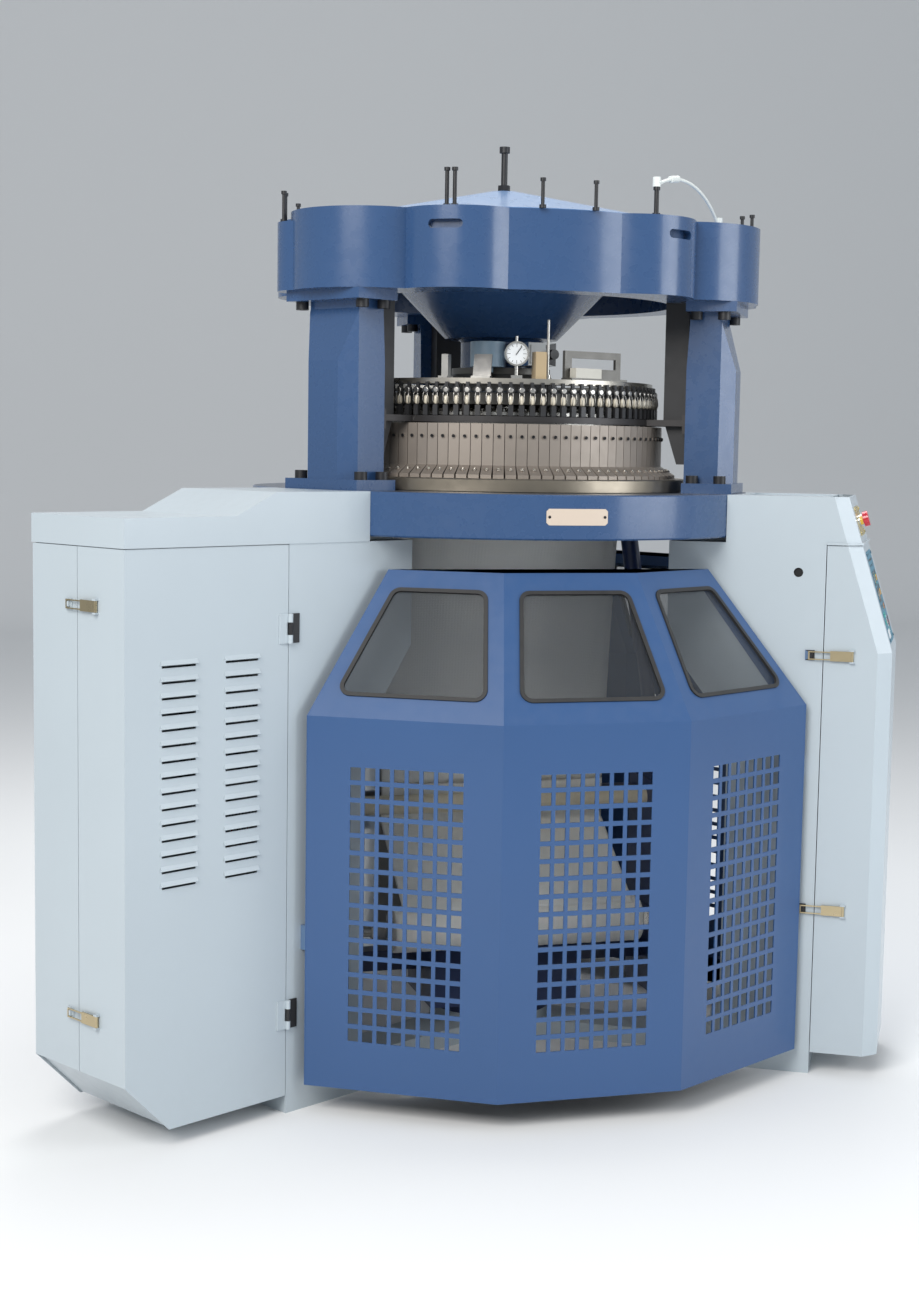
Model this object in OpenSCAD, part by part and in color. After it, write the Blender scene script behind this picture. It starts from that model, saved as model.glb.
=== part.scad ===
// Circular double knitting machine on three legs.
// The origin is on the floor under the middle of the needle cylinder, +Z is up,
// and the front guard gate faces -Y.

/* [Frame] */
// Height of the bed plate's underside above the floor
bed_z = 1395; // [1385:5:1420]
// Thickness of the bed plate at its rim
bed_t = 110; // [100:2:120]
// Radius of the bed plate
bed_r = 670; // [665:1:690]
// Height of the three columns between bed plate and top casting
column_h = 495; // [480:5:520]
// Depth of the top casting
top_h = 195; // [180:5:220]
// Reach of the top casting's column lobes from the middle
lobe_reach = 690; // [680:2:710]
// Width of a leg and its cabinet
leg_w = 356; // [340:2:370]
// Distance of a leg's inner edge from the middle, below the knee
leg_in = 665; // [660:1:690]
// Distance of a leg's inner edge from the middle, above the knee
leg_neck = 500; // [490:2:520]
// Distance of the seam between leg and cabinet from the middle
leg_out = 903; // [890:1:920]
// Height of the knee where the leg's inner edge starts to lean in
knee_z = 900; // [860:5:940]
// Height of the upper end of the leaning edge
neck_z = 1120; // [1090:5:1160]
// Thickness of the legs' steel plate
leg_wall = 10; // [8:1:14]

/* [Knitting head] */
// Radius of the needle cylinder (a 30 inch machine)
cyl_r = 381; // [375:1:385]
// Number of feeders, and so of cam boxes and yarn guides
feeds = 96; // [84:12:96]
// Outer radius of the ring of cam boxes
box_r = 440; // [436:1:446]
// Height of a cam box's face plate
box_h = 115; // [100:1:125]
// Radius of the bright ring under the cam boxes
ring_r = 505; // [500:1:510]
// Height of the bright ring
ring_h = 34; // [28:1:40]
// Outer radius of the ring that carries the yarn guides
feed_r = 412; // [408:1:420]

/* [Guards and cabinets] */
// Distance of the gate's lower corners from the middle
gate_r = 887; // [880:1:900]
// Distance of the gate's upper corners from the middle
gate_top_r = 651; // [640:1:665]
// Angle that each gate facet spans
facet_a = 30.5; // [30:0.5:31]
// Height of the gate's lower edge
gate_z = 70; // [60:1:80]
// Height of the fold between upright and leaning facets
waist_z = 975; // [960:1:990]
// Height of the gate's upper edge
gate_top_z = 1314; // [1300:1:1325]
// Thickness of the gates' sheet
sheet = 3; // [2:0.5:4]
// Height of the seam under the cabinet lids
seam_z = 1383; // [1375:1:1386]
// Outer end of the electrical cabinet from the middle
cab_out = 1376; // [1360:1:1390]
// Height of the electrical lid at its outer end
lid_low_z = 1450; // [1440:1:1460]
// Height of the cabinets' lower edge
cab_z = 45; // [40:1:55]
// Front face of the control cabinet from the middle, below the slanting panel
ctl_out = 1075; // [1070:1:1090]

/* [Take-down] */
// Half of the distance between the take-down side boxes' inner faces
side_in = 440; // [435:1:445]
// Radius of the two nip rollers
nip_r = 26; // [22:1:28]
// Radius of the wound fabric
roll_r = 62; // [45:1:66]
// Length of the fabric roll
roll_l = 690; // [640:10:720]

/* [Hidden] */
$fn = 96;

// Angles of the three legs and of the three gates between them
left_a = 210;
right_a = 330;
back_a = 90;
leg_angles = [left_a, right_a, back_a];
gate_front_a = 270;
gate_left_a = 150;
gate_right_a = 30;

// Fits
fit = 0.3;          // seat gap between pieces of different bodies
run = 0.06;         // radial running clearance of shafts and pins
film = 0.02;        // film of paint or oil between bolted faces
soft_gap = 1;       // room round fabric

// Levels
bed_top = bed_z + bed_t;
ring_z = bed_top;
foot_z = ring_z + ring_h + film;
foot_h = 22;
box_z = foot_z + foot_h;
box_top = box_z + box_h;
top_z = bed_top + column_h;
top_top = top_z + top_h;

// Columns
col_in = 520;
col_out = 645;
col_w = 183;
col_face_w = 110;
col_flange_w = 269;
flange_h = 26;
bolt_s = [-112, 112];
bolt_r = [545, 617];
bolt_d = 18;
shaft_r = 576;
shaft_d = 40;

// Gears of the head drive: equal pairs under the bed plate and in the top casting
gear_m = 9;
gear_n = 112;
pinion_n = 16;
gear_h = 26;
lip_t = 14;
gear_z = bed_z + lip_t + fit;
web_z = top_z + 70;
web_t = 24;
top_gear_z = web_z + web_t + 10;

// Needle cylinder
cyl_wall = 26;
cyl_top = box_top + 14;

// One leg's or cabinet's own axes: +X outwards, +Y along the ring
module at_angle(a) rotate([0, 0, a]) children();

// Plate with its profile in the radial plane, centred across the leg
module radial(width, points) {
    rotate([90, 0, 0]) linear_extrude(width, center = true) polygon(points);
}

// Flat bar between two heights, standing at r, s
module post(r, s, z0, z1, dr, ds) {
    translate([r - dr / 2, s - ds / 2, z0]) cube([dr, ds, z1 - z0]);
}

// Upright cylinder from z0 to z1
module pin(r, s, z0, z1, d) {
    translate([r, s, z0]) cylinder(h = z1 - z0, d = d);
}

// Cap screw with its head standing on height z
module cap_screw(r, s, z, d) {
    translate([r, s, z]) difference() {
        cylinder(h = d, d = 1.6 * d, $fn = 32);
        translate([0, 0, d / 2]) cylinder(h = d, d = 0.85 * d, $fn = 6);
    }
}

// Spur gear with straight flanks, standing on z = 0
module spur(n, m, h, bore) {
    r0 = m * n / 2;
    pitch = 360 / n;
    flank = [[-0.31, -1], [-0.13, 0.8], [0.13, 0.8], [0.31, -1]];
    difference() {
        linear_extrude(h) polygon([for (i = [0 : n - 1], f = flank)
            (r0 + f[1] * m) * [cos((i + f[0]) * pitch), sin((i + f[0]) * pitch)]]);
        translate([0, 0, -1]) cylinder(h = h + 2, r = bore);
    }
}

// Three-armed floor casting with the bearing boss of the take-down
spider_t = 46;
boss_r = 170;
boss_h = 72;
spigot_r = 60;
spigot_h = 30;
spider_arm = [[0, 95], [260, 70], [520, 62], [leg_in - fit, 88]];
pad_h = 70;
pad_t = 34;
module base_spider() color("gainsboro") {
    for (a = leg_angles) at_angle(a) {
        pad_w = 2 * spider_arm[3][1];
        difference() {
            linear_extrude(spider_t)
                polygon(concat(spider_arm, [for (i = [3 : -1 : 0]) [spider_arm[i][0],
                    -spider_arm[i][1]]]));
            for (s = [-45, 45]) pin(leg_in - 90, s, -1, spider_t + 1, 26);
        }
        translate([leg_in - pad_t, -pad_w / 2, spider_t - 1]) cube([pad_t - fit, pad_w, pad_h]);
        for (s = [-52, 52]) translate([leg_in - pad_t - 10, s, spider_t + pad_h / 2])
            rotate([0, 90, 0]) cylinder(h = 14, d = 26, $fn = 6);
    }
    cylinder(h = boss_h, r = boss_r);
    cylinder(h = boss_h + spigot_h, r = spigot_r);
}

// Hollow welded leg: side plates, leaning inner edge, top plate and bed pad
seat_in = 512;
seat_out = 655;
seat_w = 240;
module leg_profile(inset) {
    polygon([[leg_in + inset, 0 + inset], [leg_out - inset, 0 + inset],
        [leg_out - inset, seam_z - inset], [leg_neck + inset, seam_z - inset],
        [leg_neck + inset, neck_z + inset * 0.5], [leg_in + inset, knee_z + inset * 0.5]]);
}
module leg_body() {
    difference() {
        rotate([90, 0, 0]) linear_extrude(leg_w, center = true) leg_profile(0);
        rotate([90, 0, 0]) linear_extrude(leg_w - 2 * leg_wall, center = true)
            leg_profile(leg_wall);
    }
    translate([seat_in, -seat_w / 2, seam_z - 1])
        cube([seat_out - seat_in, seat_w, bed_z - seam_z + 1]);
}

// Electrical cabinet's tray, door post and lid rails, welded to the left leg
cut_r = cab_out - 123;
cut_z = cab_z + 123;
tray_w = leg_w - 14;
tray_end = cab_out - 6;
post_r = tray_end - 12;
module left_tray() {
    difference() {
        radial(tray_w, [[leg_out - 1, cab_z + 4], [cut_r - 2, cab_z + 4], [tray_end, cut_z + 2],
            [tray_end, cut_z + 10], [cut_r - 5, cab_z + 9], [leg_out - 1, cab_z + 9]]);
        translate([980, -60, cab_z]) cube([160, 120, 20]);
    }
    post(post_r, 0, cut_z - 4, seam_z, 24, 44);
    difference() {
        translate([leg_out - 1, -tray_w / 2, seam_z - 14])
            cube([tray_end - leg_out + 1, tray_w, 14]);
        translate([leg_out + 4, -tray_w / 2 + 16, seam_z - 20])
            cube([tray_end - leg_out - 30, tray_w - 32, 30]);
    }
}
module leg_left() color("gainsboro") at_angle(left_a) {
    leg_body();
    left_tray();
}

// Right leg with the short bracket that the control cabinet's cap stands on
cap_seam_r = 953;
plug_r = 834;
plug_z = 1311;
plug_d = 24;
module leg_right() color("gainsboro") at_angle(right_a) {
    difference() {
        leg_body();
        translate([plug_r, -leg_w / 2 + 6, plug_z]) rotate([90, 0, 0])
            cylinder(h = leg_wall, d = plug_d, $fn = 32);
    }
    translate([leg_out - 1, -150, seam_z - 8]) cube([cap_seam_r - leg_out - 6, 300, 8]);
    translate([leg_out - 1, -150, cab_z + 18]) cube([110, 300, 6]);
}

// Rear leg with the motor's bracket and the belt's slot
motor_d = 190;
motor_room = 77;
motor_r = leg_out + motor_d / 2 + motor_room;
motor_z = 780;
belt_z = 1190;
belt_h = 30;
bearing_z = belt_z - 62;
bearing_t = 20;
bracket_l = 290;
bracket_w = 220;
bracket_t = 14;
bracket_drop = 200;
module leg_back() color("gainsboro") at_angle(back_a) {
    difference() {
        leg_body();
        translate([leg_out - 2 * leg_wall, -100, belt_z - 30])
            cube([3 * leg_wall, 200, belt_h + 60]);
        pin(shaft_r, 0, seam_z - 2 * leg_wall, bed_z + 1, shaft_d + 8);
    }
    difference() {
        translate([leg_neck + leg_wall / 2, -leg_w / 2 + leg_wall / 2, bearing_z])
            cube([leg_out - leg_neck - leg_wall, leg_w - leg_wall, bearing_t]);
        pin(shaft_r, 0, bearing_z - 1, bearing_z + bearing_t + 1, shaft_d + 2 * run);
    }
    translate([leg_out - 1, -bracket_w / 2, motor_z - bracket_t])
        cube([bracket_l, bracket_w, bracket_t]);
    for (k = [-1, 1]) translate([0, k * (bracket_w / 2 - 8), 0])
        radial(12, [[leg_out - 1, motor_z - bracket_t + 1],
            [leg_out + bracket_l - 50, motor_z - bracket_t + 1],
            [leg_out - 1, motor_z - bracket_drop]]);
}

// Bed plate: cast round table, open in the middle, with the gear space below
bed_bore = 405;
deck_t = 44;
module bed_plate() color("steelblue") difference() {
    rotate_extrude($fn = 180) polygon([[bed_bore, bed_top - deck_t], [bed_bore, bed_top],
        [bed_r - 3, bed_top], [bed_r, bed_top - 3], [bed_r, bed_z + 4], [bed_r - 4, bed_z],
        [bed_bore, bed_z], [bed_bore, bed_z + lip_t], [bed_r - 12, bed_z + lip_t],
        [bed_r - 12, bed_top - deck_t]]);
    at_angle(back_a) pin(shaft_r, 0, bed_z - 1, bed_top + 1, shaft_d + 2 * run);
    for (a = leg_angles, s = bolt_s, r = bolt_r)
        at_angle(a) pin(r, s, bed_top - deck_t - 1, bed_top + 1, bolt_d);
}

// Cast column: six-sided section, bulged outwards below its head, flanged at both ends
col_bevel = 36;
col_head_in = 38;
col_head_h = 175;
col_bore = 60;
module column_section(z0, z1) {
    bevel_r = col_out - col_bevel;
    translate([0, 0, z0]) linear_extrude(z1 - z0)
        polygon([[col_in, -col_w / 2], [bevel_r, -col_w / 2], [col_out, -col_face_w / 2],
            [col_out, col_face_w / 2], [bevel_r, col_w / 2], [col_in, col_w / 2]]);
}
module column() {
    z0 = bed_top + film;
    z1 = bed_top + column_h - film;
    head_out = col_out - col_head_in;
    difference() {
        intersection() {
            column_section(z0, z1);
            radial(col_w + 2, [[col_in, bed_top], [col_out, bed_top], [col_out, z1 - col_head_h],
                [head_out, z1 - 45], [head_out, z1], [col_in + 6, z1],
                [col_in + 6, z1 - 60], [col_in, z1 - col_head_h]]);
        }
        pin(shaft_r, 0, bed_top - 1, z1 + 1, col_bore);
    }
    for (z = [z0, z1 - flange_h]) difference() {
        translate([col_in, -col_flange_w / 2, z])
            cube([col_out + 6 - col_in, col_flange_w, flange_h]);
        pin(shaft_r, 0, z - 1, z + flange_h + 1, col_bore);
        for (s = bolt_s, r = bolt_r) pin(r, s, z - 1, z + flange_h + 1, bolt_d + 2);
    }
}
module columns() color("steelblue") for (a = leg_angles) at_angle(a) column();

// Dark sheet channel on the inner side of each column
duct_in = 458;
duct_w = 120;
module column_ducts() color([0.08, 0.08, 0.09]) for (a = leg_angles) at_angle(a) {
    difference() {
        radial(duct_w, [[col_in, foot_z + 40], [col_in, top_z], [duct_in, top_z],
            [duct_in, box_top + 20], [ring_r - 10, foot_z + 40]]);
        radial(duct_w - 6, [[col_in - 3, foot_z], [col_in - 3, top_z + 1], [duct_in + 3, top_z + 1],
            [duct_in + 3, box_top + 21], [ring_r - 6, foot_z]]);
    }
}

// Cap screws of the column feet and heads
module frame_bolts() color([0.1, 0.1, 0.12]) for (a = leg_angles) at_angle(a)
    for (s = bolt_s, r = bolt_r) {
        cap_screw(r, s, bed_top + flange_h + 2 * film, bolt_d + 2);
        pin(r, s, bed_top - deck_t / 2, bed_top + flange_h + 1, bolt_d);
        translate([0, 0, 2 * top_z - 2 * flange_h]) mirror([0, 0, 1])
            cap_screw(r, s, top_z - flange_h + 2 * film, bolt_d + 2);
        pin(r, s, top_z - flange_h - 1, top_z + deck_t / 2, bolt_d);
    }

// Top casting: a ring of round lobes, open below, with the gear space above its web
frame_in = 518;
lobe_d = 400;
mid_lobe_d = 330;
mid_lobe_reach = 612;
low_boss_a = 11;
low_boss_r = 610;
low_boss_d = 150;
slot_w = 64;
slot_round_d = 22;
slot_drop = 44;
module lobe_circle(r, d) translate([r, 0]) circle(d = d);
module top_outline() {
    linear_extrude(top_h) {
        circle(r = frame_in + 34, $fn = 180);
        for (a = leg_angles) rotate(a) {
            lobe_circle(lobe_reach - lobe_d / 2, lobe_d);
            for (k = [-30, 30]) rotate(k) lobe_circle(mid_lobe_reach - mid_lobe_d / 2, mid_lobe_d);
        }
    }
    linear_extrude(top_h - boss_drop) for (a = [left_a - low_boss_a, right_a + low_boss_a]) rotate(a)
        lobe_circle(low_boss_r, low_boss_d);
}
module top_frame() color("steelblue") difference() {
    translate([0, 0, top_z]) top_outline();
    translate([0, 0, top_z - 1]) cylinder(h = web_z - top_z + 1, r = frame_in - 60, $fn = 180);
    translate([0, 0, web_z + web_t]) cylinder(h = top_h, r = frame_in, $fn = 180);
    translate([0, 0, web_z - 1]) cylinder(h = web_t + 2, r = 120);
    at_angle(back_a) {
        pin(shaft_r, 0, top_z - 1, web_z + web_t + 1, shaft_d + 2 * run);
        pin(shaft_r, 0, web_z + web_t, top_top + 1, pinion_n * gear_m + 2 * gear_m + 8);
    }
    for (a = leg_angles, s = bolt_s, r = bolt_r)
        at_angle(a) pin(r, s, top_z - 1, top_z + deck_t / 2, bolt_d);
    for (a = leg_angles, k = [-30, 30]) at_angle(a + k)
        for (k = [-1, 1]) translate([mid_lobe_reach - 26, k * slot_w / 2, top_top - slot_drop])
            rotate([0, 90, 0]) cylinder(h = 40, d = slot_round_d);
    for (a = leg_angles, k = [-30, 30]) at_angle(a + k)
        translate([mid_lobe_reach - 26, -slot_w / 2, top_top - slot_drop - slot_round_d / 2 + 0.2])
            cube([40, slot_w, slot_round_d - 0.4]);
}

// Wide cone and neck under the top casting, bored for the dial's spindle
cone_top_r = 300;
cone_low_r = 152;
cone_low_z = top_z - 96;
neck_r = 110;
neck_low_z = cone_low_z - 77;
spindle_d = 70;
module dial_cone() color("steelblue") rotate_extrude($fn = 144) polygon([
    [spindle_d / 2 + run, neck_low_z], [neck_r, neck_low_z], [neck_r, cone_low_z - 8],
    [neck_r + 8, cone_low_z], [cone_low_r, cone_low_z + 2], [cone_top_r, web_z - 14],
    [cone_top_r, web_z], [cone_top_r - 40, web_z], [cone_low_r - 18, cone_low_z + 26],
    [spindle_d / 2 + 24, cone_low_z + 26], [spindle_d / 2 + 24, web_z + web_t + 2],
    [spindle_d / 2 + run, web_z + web_t + 2]]);

// Shallow sheet dome that closes the top casting
dome_rise = 105;
module top_dome() color("lightskyblue") rotate_extrude($fn = 144) polygon([
    [frame_in + 14, top_top], [frame_in + 14, top_top + 4], [frame_in - 10, top_top + 5],
    [40, top_top + dome_rise], [9, top_top + dome_rise + 4], [9, top_top + dome_rise],
    [38, top_top + dome_rise - 4], [frame_in - 14, top_top]]);

// Black studs and the centre screw on the top casting: angle, distance, height, diameter
boss_drop = 24;
screw_rise = 112;
screw_d = 17;
hose_stud_h = 72;
stud_list = [[239, 560, 95, 10], [241, 560, 95, 10], [263, 560, 72, 9], [277, 560, 72, 9],
    [296, 560, hose_stud_h, 12], [18, 560, 72, 9], [60, 560, 95, 10], [118, 560, 78, 9],
    [122, 560, 78, 9], [160, 560, 72, 9]];
low_stud_list = [[194.5, 647, 78, 9], [197.5, 668.6, 78, 9], [345.5, 647, 78, 9],
    [342.5, 668.6, 78, 9]];
module stud(q, z0) at_angle(q[0]) {
    pin(q[1], 0, z0, z0 + q[2], q[3]);
    pin(q[1], 0, z0 + q[2] - 8, z0 + q[2], q[3] + 5);
    pin(q[1], 0, z0, z0 + 8, q[3] + 8);
}
module top_studs() color([0.08, 0.08, 0.09]) {
    for (q = stud_list) stud(q, top_top + film);
    for (q = low_stud_list) stud(q, top_top - boss_drop + film);
    pin(0, 0, top_top + dome_rise - 40, top_top + dome_rise + screw_rise, screw_d);
    translate([0, 0, top_top + dome_rise + 4]) cylinder(h = 14, d = 2 * screw_d, $fn = 6);
    pin(0, 0, top_top + dome_rise + screw_rise - 8, top_top + dome_rise + screw_rise + 8,
        screw_d + 11);
}

// Air hose: an arc between its white fittings on the top casting
hose_d = 8;
hose_r = 221;
hose_turn = 34.7;
hose_from = [245, -503];
module air_hose() color("white") translate([hose_from[0], hose_from[1], top_top])
    rotate([0, 0, hose_turn]) {
        translate([104, 0, -120]) rotate([90, 0, 0]) rotate([0, 0, 34.5])
            rotate_extrude(angle = 83.5) translate([hose_r, 0]) circle(d = hose_d, $fn = 24);
        for (q = [[0, hose_stud_h + 2 * film], [290, 0]]) translate([q[0], 0, q[1]])
            cylinder(h = 24, d = 20, $fn = 32);
        translate([290, 0, 0]) cylinder(h = 6, d = 26, $fn = 6);
        translate([60, 0, 97]) rotate([0, 82, 0]) cylinder(h = 34, d = 17, $fn = 32);
    }

// Bright ring on which the cam boxes stand
module cam_base_ring() color("darkkhaki") rotate_extrude($fn = 180) polygon([
    [cyl_r + 4, ring_z], [ring_r - 2, ring_z], [ring_r, ring_z + 2],
    [ring_r, ring_z + ring_h - 3], [ring_r - 3, ring_z + ring_h], [cyl_r + 4, ring_z + ring_h]]);

// One cam box: face plate, block behind it, sloping foot, clamp screw and foot screw
box_gap = 1.6;
foot_r = box_r + 38;
foot_edge = 9;
foot_knee = foot_h + 10;
foot_a = atan2(foot_knee - foot_edge, foot_r - box_r);
box_w = 2 * PI * box_r / feeds - box_gap;
function box_half(r) = r * tan(180 / feeds) - box_gap / 2;
module cam_box() {
    back = cyl_r + 2;
    translate([0, 0, box_z - 1]) linear_extrude(box_h + 1) polygon([[back, -box_half(back)],
        [box_r, -box_half(box_r)], [box_r, box_half(box_r)], [back, box_half(back)]]);
    radial(box_w, [[box_r - 30, foot_z], [foot_r, foot_z], [foot_r, foot_z + foot_edge],
        [box_r, foot_z + foot_knee], [box_r - 30, foot_z + foot_knee]]);
    translate([box_r - 1, 0, box_z + 0.72 * box_h]) rotate([0, 90, 0])
        cylinder(h = 2.5, d = 12);
    translate([(box_r + foot_r) / 2, 0, foot_z + (foot_edge + foot_knee) / 2])
        rotate([0, foot_a, 0]) translate([0, 0, -4]) cylinder(h = 6, d = 12);
}
module cam_boxes() color("tan") for (i = [0 : feeds - 1])
    rotate([0, 0, (i + 0.5) * 360 / feeds]) cam_box();

// Yarn guide carrier: dark lower ring, bright upper ring, posts and arms to the columns
low_ring_z = box_top + 3;
low_ring_h = 16;
up_ring_z = low_ring_z + 97;
up_ring_h = 14;
feed_in = 352;
low_ring_out = feed_r + 16;
carrier_post_n = 12;
carrier_post_d = 9;
carrier_arm_s = [-82, 82];
carrier_arm_w = 16;
module feeder_ring() color("dimgray") {
    difference() {
        translate([0, 0, low_ring_z]) cylinder(h = low_ring_h, r = low_ring_out, $fn = 180);
        translate([0, 0, low_ring_z - 1]) cylinder(h = low_ring_h + 2, r = feed_r - 18, $fn = 180);
    }
    difference() {
        translate([0, 0, up_ring_z]) cylinder(h = up_ring_h, r = feed_r, $fn = 180);
        translate([0, 0, up_ring_z - 1]) cylinder(h = up_ring_h + 2, r = feed_in, $fn = 180);
    }
    for (i = [0 : carrier_post_n - 1]) rotate([0, 0, i * 360 / carrier_post_n])
        pin(feed_r - 9, 0, low_ring_z, up_ring_z + 1, carrier_post_d);
    for (a = leg_angles, s = carrier_arm_s) at_angle(a) {
        translate([feed_r - 8, s - carrier_arm_w / 2, low_ring_z])
            cube([col_in - feed_r + 8, carrier_arm_w, low_ring_h]);
        translate([col_in - 8, s - carrier_arm_w / 2, low_ring_z - 20])
            cube([8, carrier_arm_w, 50]);
    }
}

// Yarn guides: holder, eyelet and ceramic tip, one over each cam box
module yarn_feeder() {
    z0 = low_ring_z + low_ring_h;
    difference() {
        union() {
            translate([feed_r + fit, -4, z0]) cube([8, 8, up_ring_z - z0 + 4]);
            translate([feed_r + 4, 0, up_ring_z - 16]) rotate([0, 90, 0])
                cylinder(h = 8, d = 19);
            translate([feed_r + 2, -6.5, z0 + 1]) cube([13, 13, 26]);
        }
        translate([feed_r, 0, up_ring_z - 16]) rotate([0, 90, 0])
            cylinder(h = 20, d = 10);
    }
}
module yarn_feeders() color([0.12, 0.12, 0.12]) for (i = [0 : feeds - 1])
    rotate([0, 0, (i + 0.5) * 360 / feeds]) yarn_feeder();

// Fixed dial cam plate, hung from the neck
dial_z = cyl_top + 8;
dial_t = 18;
cams_z = dial_z + dial_t + 10;
module dial_cams() color("slategray") {
    rotate_extrude($fn = 144) polygon([
        [spindle_d / 2 + 6, cams_z], [cyl_r - 36, cams_z], [cyl_r - 36, cams_z + 30],
        [cyl_r - 60, cams_z + 34], [neck_r + 60, cams_z + 34], [neck_r + 24, neck_low_z - 16],
        [neck_r + 24, neck_low_z], [spindle_d / 2 + 6, neck_low_z]]);
    for (i = [0 : 23]) rotate([0, 0, i * 15])
        translate([neck_r + 70, -3, cams_z + 30]) cube([120, 6, 12]);
}

// Brackets, rod, drive box and cylinder on the carrier ring and under the cone
brk_z = up_ring_z + up_ring_h + film;
module head_brackets() color("slategray") {
    // Upright block with its foot
    at_angle(232) {
        translate([366, -12, brk_z]) cube([40, 24, 5]);
        translate([372, -9, brk_z]) cube([20, 18, 60]);
    }
    // Tilted plate
    at_angle(246) {
        translate([362, -24, brk_z]) cube([44, 48, 5]);
        translate([372, -23, brk_z + 3]) rotate([0, -25, 0]) cube([7, 46, 62]);
    }
    // Tan block and thin rod
    at_angle(268) {
        translate([364, -14, brk_z]) cube([38, 28, 68]);
        pin(372, 26, brk_z, brk_z + 150, 7);
        pin(372, 26, brk_z, brk_z + 12, 16);
    }
    // Slotted handle plate with its block
    at_angle(292) {
        difference() {
            translate([370, -95, brk_z]) cube([9, 190, 74]);
            translate([360, -72, brk_z + 30]) cube([30, 150, 26]);
        }
        translate([382, -80, brk_z]) cube([24, 86, 30]);
        translate([366, -95, brk_z]) cube([40, 190, 5]);
    }
    // Drive box on the neck with its face and knob
    at_angle(283) {
        difference() {
            translate([neck_r - 12, -42, neck_low_z + 4]) cube([120, 84, 60]);
            cylinder(h = 3000, r = neck_r + fit);
        }
        translate([neck_r + 108, -36, neck_low_z + 10]) cube([4, 44, 48]);
        translate([neck_r + 107, 26, neck_low_z + 34]) rotate([0, 90, 0])
            cylinder(h = 22, d = 26, $fn = 32);
    }
    // Small motor under the cone
    at_angle(240) {
        difference() {
            translate([neck_r + 44, 0, neck_low_z + fit]) cylinder(h = 66, d = 92);
            cylinder(h = 3000, r = neck_r + fit);
        }
        pin(neck_r + 64, 0, neck_low_z - 14, neck_low_z + 6, 40);
    }
}

// Dial gauge on its stem
gauge_x = 384;
gauge_z = brk_z + 62;
module dial_gauge() color("silver") at_angle(259) {
    translate([gauge_x, 0, gauge_z]) rotate([0, 90, 0]) difference() {
        cylinder(h = 22, d = 62);
        translate([0, 0, 17]) cylinder(h = 10, d = 54);
    }
    pin(gauge_x + 11, 0, brk_z, gauge_z - 28, 9);
    translate([gauge_x - 6, -14, brk_z]) cube([30, 28, 8]);
    pin(gauge_x + 11, 0, gauge_z + 28, gauge_z + 44, 7);
    translate([gauge_x + 17, 0, gauge_z]) rotate([-35, 0, 0]) translate([0, -1, -4])
        cube([1.5, 2, 26]);
}

// Needle cylinder: bright tube with tricks cut round its top, flanged on the ring gear
trick_n = 120;
trick_w = 3;
module needle_cylinder() color("silver") {
    z0 = gear_z + gear_h;
    difference() {
        rotate_extrude($fn = 180) polygon([[cyl_r - cyl_wall, z0], [cyl_r + 16, z0],
            [cyl_r + 16, z0 + 14], [cyl_r, z0 + 20], [cyl_r, cyl_top],
            [cyl_r - cyl_wall, cyl_top]]);
        for (i = [0 : trick_n - 1]) rotate([0, 0, i * 360 / trick_n])
            translate([cyl_r - 5, -trick_w / 2, cyl_top - 9]) cube([10, trick_w, 10]);
    }
}

// Big gear under the bed plate
module ring_gear() color("gray") translate([0, 0, gear_z])
    spur(gear_n, gear_m, gear_h, cyl_r - cyl_wall);

// Needle dial with its spindle
dial_r = cyl_r - 8;
module needle_dial() color("silver") {
    difference() {
        rotate_extrude($fn = 180) polygon([[0, dial_z], [dial_r, dial_z], [dial_r, dial_z + 8],
            [dial_r - 30, dial_z + dial_t], [spindle_d / 2, dial_z + dial_t],
            [spindle_d / 2, top_gear_z + gear_h + 14], [0, top_gear_z + gear_h + 14]]);
        for (i = [0 : trick_n - 1]) rotate([0, 0, i * 360 / trick_n])
            translate([dial_r - 24, -trick_w / 2, dial_z + 5]) cube([30, trick_w, 20]);
    }
}

// Equal gear that turns the dial, in the top casting
module dial_gear() color("gray") translate([0, 0, top_gear_z])
    spur(gear_n, gear_m, gear_h, spindle_d / 2);

// Upright drive shaft inside the rear column, with two pinions and a belt pulley
pulley_r = 52;
pulley_lip = 4;
pulley_edge = 6;
module belt_pulley(r, bore_d) {
    z1 = belt_z + belt_h;
    difference() {
        pin(r, 0, belt_z - pulley_edge, z1 + pulley_edge, 2 * (pulley_r + pulley_lip));
        difference() {
            pin(r, 0, belt_z, z1, 2 * (pulley_r + 10));
            pin(r, 0, belt_z - 1, z1 + 1, 2 * pulley_r);
        }
        pin(r, 0, belt_z - pulley_edge - 1, z1 + pulley_edge + 1, bore_d);
    }
}
module drive_shaft() color("silver") at_angle(back_a) {
    difference() {
        pin(shaft_r, 0, bearing_z + 2, top_gear_z + gear_h + 6, shaft_d);
        pin(shaft_r, 0, bearing_z + 1, bearing_z + 12, 8);
    }
    for (z = [gear_z, top_gear_z]) translate([shaft_r, 0, z]) rotate([0, 0, 180 / pinion_n])
        spur(pinion_n, gear_m, gear_h, shaft_d / 2);
    belt_pulley(shaft_r, shaft_d);
}

// Belt between the motor and the drive shaft
belt_t = 5;
module belt_loop(r) {
    hull() {
        translate([shaft_r, 0]) circle(r = r);
        translate([motor_r, 0]) circle(r = r);
    }
}
module drive_belt() color([0.1, 0.1, 0.1]) at_angle(back_a)
    translate([0, 0, belt_z + 2]) linear_extrude(belt_h - 4) difference() {
        belt_loop(pulley_r + fit + belt_t);
        belt_loop(pulley_r + fit);
    }

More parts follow.
